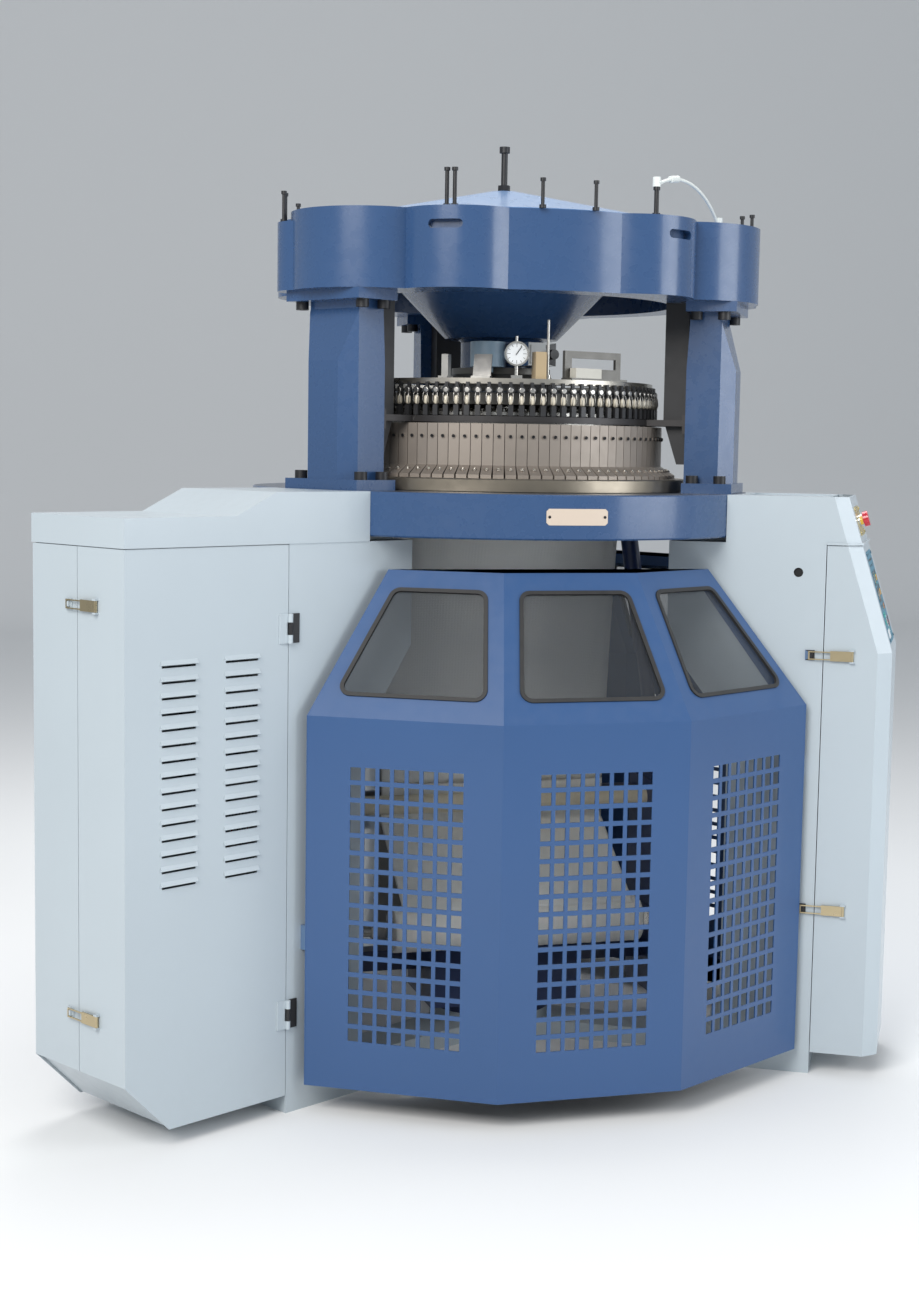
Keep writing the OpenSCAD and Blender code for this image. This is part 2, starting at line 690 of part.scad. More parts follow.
// Motor on the rear leg's bracket, shaft upwards
motor_h = 300;
motor_shaft_d = 28;
fin_n = 24;
module drive_motor() color("slategray") at_angle(back_a) {
    difference() {
        union() {
            pin(motor_r, 0, motor_z, motor_z + motor_h, motor_d);
            pin(motor_r, 0, motor_z, motor_z + 18, motor_d + 24);
            for (k = [0 : fin_n - 1]) translate([motor_r, 0, motor_z + 30])
                rotate([0, 0, k * 360 / fin_n])
                translate([motor_d / 2 - 2, -2, 0]) cube([11, 4, motor_h - 60]);
            translate([motor_r + 60, -50, motor_z + 110]) cube([70, 100, 90]);
        }
        pin(motor_r, 0, motor_z + motor_h - 60, motor_z + motor_h + 1, motor_shaft_d + 2 * run);
    }
}

// Motor's shaft and pulley
module motor_pulley() color("silver") at_angle(back_a) {
    pin(motor_r, 0, motor_z + motor_h - 50, belt_z + belt_h + 10, motor_shaft_d);
    difference() {
        belt_pulley(motor_r, motor_shaft_d);
        for (k = [0 : 3]) translate([motor_r, 0, 0]) rotate([0, 0, k * 90 + 45])
            pin(33, 0, belt_z - pulley_edge - 1, belt_z + belt_h + pulley_edge + 1, 20);
    }
}

// Turning take-down frame: side boxes, cross bars, drive box and turntable
side_w = 92;
side_d = 190;
side_z = 92;
side_top = 692;
nip_z = 640;
nip_gap = 1.7;
nip_y = nip_r + nip_gap / 2;
nip_pin_d = 20;
wind_y = -236;
wind_z = 345;
wind_d = 30;
wind_boss_d = 78;
table_t = 28;
gearbox_l = 420;
gearbox_w = 260;
gearbox_h = 190;
low_bar = 56;
high_bar_t = 26;
high_bar_h = 60;
module takedown_frame() color([0.15, 0.2, 0.35]) {
    difference() {
        union() {
            for (k = [-1, 1]) translate([k > 0 ? side_in : -side_in - side_w, -side_d / 2, side_z])
                cube([side_w, side_d, side_top - side_z]);
            for (k = [-1, 1]) translate([k > 0 ? side_in - 6 : -side_in - side_w, wind_y - 10,
                wind_z - 45]) cube([side_w + 6, side_d / 2 - 20 - wind_y, 34]);
            for (k = [-1, 1]) translate([k > 0 ? side_in + 8 : -side_in - side_w, wind_y, wind_z])
                rotate([0, 90, 0]) cylinder(h = side_w - 8, d = wind_boss_d);
            translate([-side_in - 1, -low_bar / 2, side_z + 86])
                cube([2 * side_in + 2, low_bar, low_bar]);
            translate([-side_in - 1, 56, side_top - 90])
                cube([2 * side_in + 2, high_bar_t, high_bar_h]);
        }
        for (k = [-1, 1], y = [-nip_y, nip_y]) translate([k * (side_in + 20), y, nip_z])
            rotate([0, 90, 0]) cylinder(h = 50, d = nip_pin_d + 2 * run, center = true);
        for (k = [-1, 1]) translate([k * (side_in + 30), wind_y, wind_z])
            rotate([0, 90, 0]) cylinder(h = 130, d = wind_d + 2 * run, center = true);
    }
    difference() {
        translate([-gearbox_l / 2, -150, boss_h + fit + table_t - 1])
            cube([gearbox_l, gearbox_w, gearbox_h]);
        cylinder(h = boss_h + spigot_h + 20, r = spigot_r + run);
    }
    difference() {
        translate([0, 0, boss_h + fit]) cylinder(h = table_t, r = boss_r);
        translate([0, 0, boss_h]) cylinder(h = table_t + 20, r = spigot_r + run);
    }
}

// Slanted arms that hang the take-down frame from the ring gear
arm_top_r = 378;
arm_ring_t = 20;
module takedown_arms() color([0.2, 0.22, 0.28]) {
    z1 = gear_z - arm_ring_t;
    difference() {
        translate([0, 0, z1]) cylinder(h = arm_ring_t, r = cyl_r + 18, $fn = 144);
        translate([0, 0, z1 - 1]) cylinder(h = arm_ring_t + 2, r = cyl_r - cyl_wall, $fn = 144);
    }
    lean = atan2(side_in + side_w / 2 - arm_top_r, z1 - side_top);
    run_l = (z1 - side_top - 20) / cos(lean);
    for (k = [-1, 1]) {
        translate([k * (side_in + side_w / 2), 0, side_top + 22]) rotate([0, -k * lean, 0]) {
            cylinder(h = run_l * 0.62, d = 38);
            translate([0, 0, run_l * 0.5]) cylinder(h = run_l * 0.5, d = 48);
        }
        translate([k * (side_in + side_w / 2) - 40, -60, side_top]) cube([80, 120, 22]);
        translate([k * (side_in + side_w / 2) - 26, -34, side_top + 20]) cube([52, 68, 34]);
    }
}

// Nip rollers that draw the fabric down
nip_l = 2 * side_in - 2;
module nip_roller(y) translate([0, y, nip_z]) rotate([0, 90, 0]) {
    cylinder(h = nip_l, r = nip_r, center = true);
    cylinder(h = nip_l + 80, d = nip_pin_d, center = true);
}
module nip_roller_front() color("antiquewhite") nip_roller(-nip_y);
module nip_roller_back() color("dimgray") nip_roller(nip_y);

// Square-ended wind-up shaft and the roll of fabric on it
module roll_shaft() color("silver") translate([0, wind_y, wind_z]) rotate([0, 90, 0]) {
    cylinder(h = 2 * (side_in + 60), d = wind_d, center = true);
    for (k = [-1, 1]) translate([0, 0, k * (roll_l / 2 + 32)])
        cube([34, 34, 50], center = true);
}
module fabric_roll() color("whitesmoke") translate([0, wind_y, wind_z]) rotate([0, 90, 0])
    difference() {
        cylinder(h = roll_l, r = roll_r, center = true);
        cylinder(h = roll_l + 2, d = wind_d, center = true);
    }

// Fabric web: down between the nip rollers and on to the roll
tube_low = side_top + 2;
web_w = 640;
web_th = 1;
web_y0 = nip_z - nip_r - 30;
wind_dist = sqrt(wind_y * wind_y + (web_y0 - wind_z) * (web_y0 - wind_z));
wind_rad = roll_r + soft_gap;
wind_a = atan2(web_y0 - wind_z, -wind_y) + acos(wind_rad / wind_dist);
touch = [wind_y + wind_rad * cos(wind_a), wind_z + wind_rad * sin(wind_a)];
module fabric_web() color("white") rotate([90, 0, 90]) linear_extrude(web_w, center = true)
    polygon([[web_th / 2, tube_low], [web_th / 2, web_y0], [touch[0] + 0.4, touch[1] - 0.2],
        [touch[0] - 0.4, touch[1] + 0.8], [-web_th / 2, web_y0 + 0.8],
        [-web_th / 2, tube_low]]);

// Fabric tube: from the needles in to the flat just above the rollers
tube_top = cyl_top - 30;
tube_rings = 8;
tube_sides = 36;
tube_r = cyl_r - cyl_wall - fit;
tube_wall = 2.5;
flat_h = 9;
function tube_ring(t, wall) = [
    tube_r * (1 - t) + (web_w / 2) * t - wall,
    tube_r * (1 - t) * (1 - 0.35 * sin(180 * t)) + flat_h * t - wall];
module tube_loft(wall, up) {
    rings = [for (j = [0 : tube_rings]) let (t = j / tube_rings) tube_ring(t, wall)];
    points = [for (j = [0 : tube_rings], i = [0 : tube_sides - 1])
        [rings[j][0] * cos(i * 360 / tube_sides), rings[j][1] * sin(i * 360 / tube_sides),
            tube_top - (tube_top - tube_low) * j / tube_rings
                + (j == 0 ? up : j == tube_rings ? -up : 0)]];
    sides = [for (j = [0 : tube_rings - 1], i = [0 : tube_sides - 1])
        let (a = j * tube_sides, n = (i + 1) % tube_sides)
        for (f = [[a + i, a + n, a + tube_sides + n], [a + i, a + tube_sides + n,
            a + tube_sides + i]]) f];
    polyhedron(points, concat([[for (i = [tube_sides - 1 : -1 : 0]) i]], sides,
        [[for (i = [0 : tube_sides - 1]) tube_rings * tube_sides + i]]));
}
module fabric_tube() color("ghostwhite") difference() {
    tube_loft(0, 0);
    tube_loft(tube_wall, 1);
}

// Flat spreader inside the fabric: two bowed rods, cross bars and centre plate
bar_d = 8;
spread_w = 500;
rod_x = 190;
rod_h = 230;
module spreader() color("silver") translate([0, 0, tube_low + fit]) {
    translate([-spread_w / 2, -bar_d / 2, 0]) cube([spread_w, bar_d, 10]);
    for (z = [40, rod_h - 30]) translate([-rod_x, -bar_d / 2, z]) cube([2 * rod_x, bar_d, 14]);
    for (k = [-1, 1]) translate([k * rod_x, 0, 0]) cylinder(h = rod_h, d = bar_d);
    translate([-40, -3, 0]) cube([80, 6, rod_h - 20]);
}

// Gate sheet: corners of the folded outline at one height
edge_gap = 26;
gate_s = leg_w / 2 + edge_gap;
hinge_s = leg_w / 2 + 13;
edge_s = gate_s + 0.3;
function corner(r, a) = [r * cos(a), r * sin(a)];
function edge_n(p) = p[0] * sin(60) - p[1] * cos(60);
function edge_t(r) = (edge_n(corner(r, facet_a / 2)) - edge_s)
    / (edge_n(corner(r, facet_a / 2)) - edge_n(corner(r, 1.5 * facet_a)));
function edge_pt(r) = corner(r, facet_a / 2)
    + edge_t(r) * (corner(r, 1.5 * facet_a) - corner(r, facet_a / 2));
function edge_r(r) = edge_pt(r)[0] * cos(60) + edge_pt(r)[1] * sin(60);
function fold_half(r) = r * sin(facet_a / 2);
function edge_half(r) = fold_half(r) * (2 * edge_t(r) - 1);
function flip(p) = [p[0], -p[1]];
function outline(r) = [flip(edge_pt(r)), flip(corner(r, facet_a / 2)),
    corner(r, facet_a / 2), edge_pt(r)];
function back(list) = [for (i = [len(list) - 1 : -1 : 0]) list[i]];
module strip(r, depth, z0, z1) {
    translate([0, 0, z0]) linear_extrude(z1 - z0)
        polygon(concat(outline(r), back(outline(r - depth / cos(facet_a / 2)))));
}

// Folded shell of a gate: upright below the waist, leaning in above it
slope_run = (gate_r - gate_top_r) * cos(facet_a / 2);
slope_l = norm([slope_run, gate_top_z - waist_z]);
slope_a = atan2(slope_run, gate_top_z - waist_z);
shell_t = sheet / cos(slope_a);
module gate_shell() {
    levels = [[gate_r, gate_z], [gate_r, waist_z], [gate_top_r, gate_top_z]];
    points = [for (q = levels, p = concat(outline(q[0]),
        back(outline(q[0] - shell_t / cos(facet_a / 2))))) [p[0], p[1], q[1]]];
    n = 8;
    walls = [for (j = [0, 1], i = [0 : n - 1]) let (a = j * n + i, b = j * n + (i + 1) % n)
        [b, a, a + n, b + n]];
    polyhedron(points, concat([[for (i = [0 : n - 1]) i]], walls,
        [[for (i = [n - 1 : -1 : 0]) 2 * n + i]]));
}

// Leaning facet k (-1, 0 or 1) in its own plane, outer face at height 0
module in_slope(k) {
    rotate([0, 0, k * facet_a]) translate([gate_r * cos(facet_a / 2), 0, waist_z])
        rotate([0, -slope_a, 0]) rotate([90, 0, 90]) children();
}
function facet_side(k, u) = let (f = u / slope_l,
    fold = fold_half(gate_r) * (1 - f) + fold_half(gate_top_r) * f,
    edge = edge_half(gate_r) * (1 - f) + edge_half(gate_top_r) * f)
    [k < 0 ? -edge : -fold, k > 0 ? edge : fold];
// Window in a leaning facet, with its corners rounded
win_side = 44;
win_low = 62;
win_high = 56;
win_round = 24;
module window_shape(k) {
    a = facet_side(k, win_low);
    b = facet_side(k, slope_l - win_high);
    offset(r = win_round, $fn = 20) offset(delta = -win_round)
        polygon([[a[0] + win_side, win_low], [a[1] - win_side, win_low],
            [b[1] - win_side, slope_l - win_high], [b[0] + win_side, slope_l - win_high]]);
}

// Square-hole grille in the upright facets
hole_nx = 8;
hole_ny = 16;
hole_w = 26;
hole_h = 31;
hole_px = 36;
hole_pz = 42.4;
grille_z = 190;
module grille() {
    for (i = [0 : hole_nx - 1], j = [0 : hole_ny - 1])
        translate([gate_r * cos(facet_a / 2) - 20,
            (i - (hole_nx - 1) / 2) * hole_px - hole_w / 2, grille_z + j * hole_pz])
            cube([40, hole_w, hole_h]);
}

// Side flange of a gate, in the plane beside the leg at +60 degrees
flange_d = 50;
module gate_flange() {
    r0 = edge_r(gate_r);
    r1 = edge_r(gate_top_r);
    rotate([0, 0, 60]) translate([0, -gate_s - sheet / 2, 0])
        radial(sheet, [[r0 - flange_d, gate_z + 0.6], [r0 - 1.2, gate_z + 0.6],
            [r0 - 1.2, waist_z], [r1 - 1.2, gate_top_z - 0.6], [r1 - flange_d, gate_top_z - 0.6],
            [r0 - flange_d, waist_z - 18]]);
}

// Hinge pins and knuckles on a gate, round the blocks on the leg
hinge_zs = [330, 790];
hinge_h = 44;
hinge_pin_d = 8;
hinge_block_r = 11;
lug_r = 9;
lug_h = 8;
hinge_r = edge_r(gate_r) - 13;
module gate_hinge() {
    rotate([0, 0, 60]) for (z = hinge_zs) {
        for (z0 = [z - fit - lug_h, z + hinge_h + fit]) translate([hinge_r, -hinge_s, z0]) {
            cylinder(h = lug_h, r = lug_r);
            translate([-lug_r, -gate_s + hinge_s - 1, 0])
                cube([2 * lug_r, gate_s - hinge_s + 1, lug_h]);
        }
        pin(hinge_r, -hinge_s, z - lug_h, z + hinge_h + lug_h, hinge_pin_d);
    }
}
module gate(a) color("royalblue") at_angle(a) {
    difference() {
        gate_shell();
        for (k = [-1 : 1]) {
            rotate([0, 0, k * facet_a]) grille();
            in_slope(k) translate([0, 0, -20]) linear_extrude(40) window_shape(k);
        }
    }
    strip(gate_top_r - 2, 36, gate_top_z - sheet - 0.3, gate_top_z - 0.3);
    strip(gate_r - 2, 28, gate_z + 0.3, gate_z + sheet + 0.3);
    gate_flange();
    mirror([0, 1, 0]) gate_flange();
    gate_hinge();
}
module gate_front() gate(gate_front_a);
module gate_left() gate(gate_left_a);
module gate_right() gate(gate_right_a);

// Clear panes behind the windows with their rubber seals
pane_t = 3;
seal_w = 5;
seal_h = 4;
pane_gap = 0.1;
module panes(a) color([0.6, 0.65, 0.7]) at_angle(a) for (k = [-1 : 1]) in_slope(k) {
    translate([0, 0, -sheet - pane_gap - pane_t]) linear_extrude(pane_t)
        offset(delta = 9) window_shape(k);
    translate([0, 0, -sheet - 2 * pane_gap]) linear_extrude(sheet + seal_h) difference() {
        offset(delta = -pane_gap) window_shape(k);
        offset(delta = -seal_w) window_shape(k);
    }
    translate([0, 0, pane_gap]) linear_extrude(seal_h - pane_gap) difference() {
        offset(delta = seal_w) window_shape(k);
        offset(delta = -1) window_shape(k);
    }
}
module panes_front() panes(gate_front_a);
module panes_left() panes(gate_left_a);
module panes_right() panes(gate_right_a);

// Electrical cabinet: lid with its ramp, louvred door and fixed rear half
gap = 2;
lid_t = 3;
ramp_in = 943;
ramp_out = 1064;
module lid_profile(d) {
    polygon([[leg_neck + 100 - d, seam_z - d], [cab_out + 2 - d, seam_z - d],
        [cab_out + 2 - d, lid_low_z - d], [ramp_out - d * 0.3, lid_low_z - d],
        [ramp_in - d * 0.3, bed_top - d], [leg_neck + 100 - d, bed_top - d]]);
}
module left_lid() color("aliceblue") at_angle(left_a) difference() {
    rotate([90, 0, 0]) linear_extrude(leg_w + 4, center = true) lid_profile(0);
    rotate([90, 0, 0]) linear_extrude(leg_w + 4 - 2 * lid_t, center = true) lid_profile(lid_t);
    translate([0, 0, seam_z - 5]) cylinder(h = 200, r = bed_r + 1, $fn = 180);
    translate([-5, -leg_w, seam_z - 5]) cube([600, 2 * leg_w, 200]);
}

// Door sheet: side panel and half of the end, cut off below
door_t = 3;
module side_panel() {
    translate([0, leg_w / 2 - door_t / 2, 0]) radial(door_t, [[leg_out + gap, cab_z],
        [cut_r, cab_z], [cab_out, cut_z], [cab_out, seam_z - gap], [leg_out + gap, seam_z - gap]]);
}
module half_end(side) {
    translate([cab_out - door_t, side > 0 ? gap / 2 : -leg_w / 2, cut_z])
        cube([door_t, leg_w / 2 - gap / 2, seam_z - gap - cut_z]);
}
louvre_n = 15;
louvre_w = 104;
louvre_h = 14;
louvre_p = 36;
louvre_z = 614;
louvre_rs = [leg_out + 141, cab_out - 150];
slot_h = 5;
module louvres() {
    for (r = louvre_rs, j = [0 : louvre_n - 1])
        translate([r - louvre_w / 2, leg_w / 2 - 1, louvre_z + j * louvre_p])
            rotate([90, 0, 90]) linear_extrude(louvre_w) polygon([[0, 0], [7, 2], [0, louvre_h]]);
}
module louvre_slots() {
    for (r = louvre_rs, j = [0 : louvre_n - 1])
        translate([r - louvre_w / 2 + 4, leg_w / 2 - 2 * door_t, louvre_z + j * louvre_p - slot_h])
            cube([louvre_w - 8, 3 * door_t, slot_h]);
}

// Cabinet hinge: three knuckles round a pin, the middle one on the leg
chinge_h = 70;
chinge_s = leg_w / 2 + 6.5;
chinge_r = 6;
chinge_pin_d = 6;
knuckle_h = 20;
leaf_in = 8;
leaf_out = 30;
leaf_t = 4;
chinge_zs = [212, 1148];
module hinge_knuckle(side, z0, z1) {
    translate([leg_out, chinge_s, z0]) cylinder(h = z1 - z0, r = chinge_r);
    translate([side > 0 ? leg_out : leg_out - leaf_in - 1, chinge_s - chinge_r, z0])
        cube([leaf_in + 1, leaf_t, z1 - z0]);
}
module door_hinge() {
    for (z = chinge_zs) {
        translate([leg_out + leaf_in, leg_w / 2 - 1, z])
            cube([leaf_out - leaf_in, leaf_t + 1, chinge_h]);
        hinge_knuckle(1, z, z + knuckle_h);
        hinge_knuckle(1, z + chinge_h - knuckle_h, z + chinge_h);
        pin(leg_out, chinge_s, z, z + chinge_h, chinge_pin_d);
    }
}
module leg_hinge() {
    for (z = chinge_zs) {
        translate([leg_out - leaf_out, leg_w / 2, z]) cube([leaf_out - leaf_in, leaf_t, chinge_h]);
        difference() {
            hinge_knuckle(-1, z + knuckle_h + fit, z + chinge_h - knuckle_h - fit);
            pin(leg_out, chinge_s, z, z + chinge_h, chinge_pin_d + 2 * run);
        }
    }
}

// Toggle latch across a seam, drawn along +X with the lever's pin at 0
lever_l = 54;
bail_l = 110;
latch_pin_d = 5;
module latch_lever() {
    difference() {
        union() {
            translate([-lever_l, 5, -13]) cube([lever_l, 4, 26]);
            translate([0, 5, -13]) cylinder(h = 26, r = 4.5);
        }
        translate([0, 5, -30]) cylinder(h = 60, d = latch_pin_d + 2 * run);
    }
    for (z = [-11, 8]) translate([-bail_l, 6, z]) cube([bail_l - lever_l + 4, 3, 3]);
    translate([-bail_l, 6, -11]) cube([4, 3, 22]);
}
module latch_seat() {
    for (z = [-17, 13.3]) translate([-6, -1, z]) cube([12, 11, 3.7]);
    translate([0, 5, -17]) cylinder(h = 34, d = latch_pin_d);
}
module latch_catch() {
    translate([-bail_l - 8, 0, -13]) cube([24, 3, 26]);
    translate([-bail_l + 5, 0, -6]) cube([6, 9, 12]);
}

// Places of the four latches
latch_z = [302, 1250];
left_latch_s = leg_w / 2 - 102;
module at_left_latch(z) {
    at_angle(left_a) translate([cab_out, left_latch_s, z]) rotate([0, 0, -90]) mirror([1, 0, 0])
        children();
}
ctl_latch_z = [438, 1100];
ctl_latch_r = ctl_out - 99;
module at_ctl_latch(z) {
    at_angle(right_a) translate([ctl_latch_r, -leg_w / 2, z]) mirror([0, 1, 0]) children();
}

module left_door() color("aliceblue") {
    at_angle(left_a) {
        difference() {
            side_panel();
            louvre_slots();
        }
        louvres();
        half_end(1);
        door_hinge();
    }
    for (z = latch_z) at_left_latch(z) latch_seat();
}
module left_rear_cover() color("aliceblue") {
    at_angle(left_a) {
        mirror([0, 1, 0]) side_panel();
        half_end(-1);
    }
    for (z = latch_z) at_left_latch(z) latch_catch();
}
module left_latch_upper() color("goldenrod") at_left_latch(latch_z[1]) latch_lever();
module left_latch_lower() color("goldenrod") at_left_latch(latch_z[0]) latch_lever();
module control_latch_upper() color("goldenrod") at_ctl_latch(ctl_latch_z[1]) latch_lever();
module control_latch_lower() color("goldenrod") at_ctl_latch(ctl_latch_z[0]) latch_lever();

// Control cabinet: one slanting front for the cover and the cap over it
ctl_knee_z = 1110;
ctl_low_z = 57;
cap_front = 953;
chamfer = 35;
module ctl_plan(front, inset) {
    half = leg_w / 2 - inset;
    polygon([[leg_out + gap, -half], [front - chamfer - inset * 0.4, -half],
        [front - inset, chamfer - half + inset * 0.6], [front - inset, half - chamfer - inset * 0.6],
        [front - chamfer - inset * 0.4, half], [leg_out + gap, half]]);
}
module ctl_solid(inset) {
    translate([0, 0, ctl_low_z - 1]) linear_extrude(ctl_knee_z - ctl_low_z + 1)
        ctl_plan(ctl_out, inset);
    hull() {
        translate([0, 0, ctl_knee_z - 1]) linear_extrude(1) ctl_plan(ctl_out, inset);
        translate([0, 0, bed_top - 1]) linear_extrude(1) ctl_plan(cap_front, inset);
    }
}
slant_a = atan2(ctl_out - cap_front, bed_top - ctl_knee_z);
module on_slant(z) {
    translate([ctl_out - (z - ctl_knee_z) * tan(slant_a), 0, z]) rotate([0, -slant_a, 0])
        rotate([90, 0, 90]) children();
}

// Instrument panel and button plate, each in a shallow seat
panel_w = 213;
panel_h = 246;
panel_z = 1246;
plate_w = 183;
plate_h = 78;
plate_z = 1441;
seat_d = 3;
module control_cover() color("aliceblue") at_angle(right_a) {
    difference() {
        ctl_solid(0);
        difference() {
            ctl_solid(3);
            on_slant(panel_z) translate([0, 0, -9])
                cube([panel_w + 20, panel_h + 20, 20], center = true);
        }
        translate([leg_out, -leg_w, seam_z - gap])
            cube([ctl_out - leg_out + 1, 2 * leg_w, bed_top]);
        translate([leg_out, -leg_w, 0]) cube([ctl_out - leg_out + 1, 2 * leg_w, ctl_low_z]);
        on_slant(panel_z) translate([-panel_w / 2, -panel_h / 2, -seat_d])
            cube([panel_w, panel_h, 20]);
    }
    door_hinge();
    for (z = ctl_latch_z) translate([ctl_latch_r, -leg_w / 2, z]) mirror([0, 1, 0]) latch_seat();
}

// Panel face: two displays and the keys stand a little proud: x, y, width, height
key_rise = 0.8;
displays = [[-46, 49, 50, 38], [-34, 5, 86, 38]];
square_keys = [for (x = [24, 46, 68], y = [47, 8]) [x, y, 15, 16],
    for (x = [-68, -49, -30, -10], y = [-49, -69]) [x, y, 13, 13],
    for (y = [56, 38]) [-6, y, 13, 13], for (x = [46, 67]) [x, -73, 15, 28]];
round_keys = [for (x = [24, 45, 67]) [x, -30]];
module control_panel() color("cadetblue") at_angle(right_a) on_slant(panel_z) {
    translate([0, 0, -seat_d]) linear_extrude(seat_d)
        square([panel_w - 2 * fit, panel_h - 2 * fit], center = true);
    for (x = [-1, 1], y = [-1, 1]) translate([x * (panel_w / 2 - 9), y * (panel_h / 2 - 9), -1])
        cylinder(h = 3, r = 4);
    for (q = concat(displays, square_keys)) translate([q[0], q[1], -1])
        linear_extrude(1 + key_rise) square([q[2], q[3]], center = true);
    for (q = round_keys) translate([q[0], q[1], -1]) cylinder(h = 1 + key_rise, d = 17);
}

// Cap over the control cabinet, down to the seam, with the seat of the button plate
cap_lip = 4;
cap_tray = [690, 905, 105, 8];
module control_cap() color("aliceblue") at_angle(right_a) difference() {
    union() {
        ctl_solid(0);
        translate([0, 0, seam_z]) linear_extrude(1.5 * cap_lip)
            ctl_plan(ctl_out - (seam_z - ctl_knee_z) * tan(slant_a), -cap_lip);
        translate([leg_neck + 100, -leg_w / 2, seam_z]) cube([leg_out - leg_neck - 90, leg_w,
            bed_top - seam_z]);
    }
    difference() {
        union() {
            ctl_solid(3);
            translate([0, -leg_w / 2 + 3, seam_z - 5]) cube([leg_out + 20, leg_w - 6,
                bed_top - seam_z + 2]);
        }
        translate([cap_tray[0] - 4, -cap_tray[2] - 4, bed_top - cap_tray[3] - 3])
            cube([cap_tray[1] - cap_tray[0] + 8, 2 * cap_tray[2] + 8, 40]);
        on_slant(plate_z) translate([0, 0, -11])
            cube([plate_w + 16, plate_h + 16, 22], center = true);
    }
    translate([0, -leg_w, 0]) cube([ctl_out + 1, 2 * leg_w, seam_z]);
    translate([0, 0, seam_z - 5]) cylinder(h = 200, r = bed_r + 1, $fn = 180);
    on_slant(plate_z) translate([-plate_w / 2, -plate_h / 2, -seat_d])
        cube([plate_w, plate_h, 20]);
    for (x = button_x) on_slant(plate_z) translate([x, 0, -30])
        cylinder(h = 60, d = button_bore + 8);
    translate([cap_tray[0], -cap_tray[2], bed_top - cap_tray[3]])
        cube([cap_tray[1] - cap_tray[0], 2 * cap_tray[2], 20]);
}

// Run, inch and stop buttons in their bezels
button_x = [-62, 0, 62];
button_d = 22;
button_bore = button_d + 2 * fit;
bezel_d = 30;
bezel_h = 6;
module button_plate() color("darkkhaki") at_angle(right_a) on_slant(plate_z) difference() {
    union() {
        translate([0, 0, -seat_d]) linear_extrude(seat_d + 1)
            square([plate_w - 2 * fit, plate_h - 2 * fit], center = true);
        for (x = button_x) translate([x, 0, 0]) cylinder(h = bezel_h, d = bezel_d);
        for (x = [-1, 1], y = [-1, 1]) translate([x * (plate_w / 2 - 8), y * (plate_h / 2 - 8), 0])
            cylinder(h = 3, r = 4, $fn = 24);
    }
    for (x = button_x) translate([x, 0, -seat_d - 1]) cylinder(h = 40, d = button_bore);
}
module button(i, head_d, head_h) at_angle(right_a) on_slant(plate_z)
    translate([button_x[i], 0, 0]) {
        translate([0, 0, -6]) cylinder(h = bezel_h + 12, d = button_d);
        translate([0, 0, bezel_h + button_run]) cylinder(h = head_h, d = head_d);
    }
button_run = 5.5;
module button_yellow() color("gold") button(0, button_d, 1);
module button_red() color("crimson") button(1, 40, 14);
module button_green() color("darkgreen") button(2, button_d, 1);

// Switchgear on its plate, inside the electrical cabinet
eplate_t = 6;
eplate_w = 280;
eplate_h = 900;
eplate_z = 300;
module electrical_plate() color("silver") at_angle(left_a) {
    translate([leg_out, -eplate_w / 2, eplate_z]) cube([eplate_t, eplate_w, eplate_h]);
    for (b = [[-120, 1020, 100, 140, 70], [0, 1020, 110, 140, 50], [-120, 780, 60, 180, 90],
        [-50, 780, 60, 180, 90], [20, 780, 90, 180, 60], [-120, 560, 230, 120, 40],
        [-120, 340, 100, 160, 110], [10, 340, 100, 160, 80]])
        translate([leg_out + eplate_t - 0.5, b[0], b[1]]) cube([b[4], b[2], b[3]]);
}

// Motor cover on the rear leg: a louvred shell, bolted on
back_out = motor_r + motor_d / 2 + 65;
module back_shell(d, low) {
    translate([leg_out + gap, -leg_w / 2 + d, low])
        cube([back_out - leg_out - gap - d, leg_w - 2 * d, seam_z - gap - d - low]);
}
module back_cover() color("aliceblue") at_angle(back_a) {
    difference() {
        union() {
            back_shell(0, cab_z);
            translate([leg_neck + 100, -leg_w / 2, seam_z]) cube([back_out - leg_neck - 100,
                leg_w, bed_top - seam_z]);
            translate([leg_out + gap, -leg_w / 2 + 1, seam_z - 30])
                cube([back_out - leg_out - gap - 1, leg_w - 2, 40]);
        }
        back_shell(door_t, cab_z - 1);
        translate([leg_out + gap + 8, -leg_w / 2 + 8, seam_z - 60])
            cube([back_out - leg_out - gap - 16, leg_w - 16, bed_top - seam_z + 60 - door_t]);
        translate([0, -leg_w / 2 + door_t, seam_z - 5]) cube([back_out - door_t, leg_w - 2 * door_t,
            bed_top - seam_z + 5 - door_t]);
        translate([0, 0, seam_z - 5]) cylinder(h = 200, r = bed_r + 1, $fn = 180);
        for (m = [0, 1]) mirror([0, m, 0]) for (j = [0 : louvre_n - 1])
            translate([leg_out + 84, leg_w / 2 - 2 * door_t, louvre_z + j * louvre_p - slot_h])
                cube([180, 3 * door_t, slot_h]);
    }
}

// Hinge blocks and catches bolted to the legs
catch_z = 400;
module gate_block(z) difference() {
    union() {
        pin(hinge_r, -hinge_s, z, z + hinge_h, 2 * hinge_block_r);
        translate([hinge_r - hinge_block_r, -hinge_s, z])
            cube([2 * hinge_block_r, hinge_s - leg_w / 2, hinge_h]);
    }
    pin(hinge_r, -hinge_s, z - 1, z + hinge_h + 1, hinge_pin_d + 2 * run);
}
module gate_catch() {
    translate([hinge_r - 22, leg_w / 2, catch_z])
        cube([26, gate_s - sheet / 2 - fit - leg_w / 2, 60]);
}
module hinge_blocks() color("dimgray") {
    for (a = [gate_front_a, gate_left_a, gate_right_a]) {
        at_angle(a + 60) for (z = hinge_zs) gate_block(z);
        at_angle(a - 60) gate_catch();
    }
    at_angle(left_a) leg_hinge();
    at_angle(right_a) leg_hinge();
    for (z = ctl_latch_z) at_ctl_latch(z) latch_catch();
}

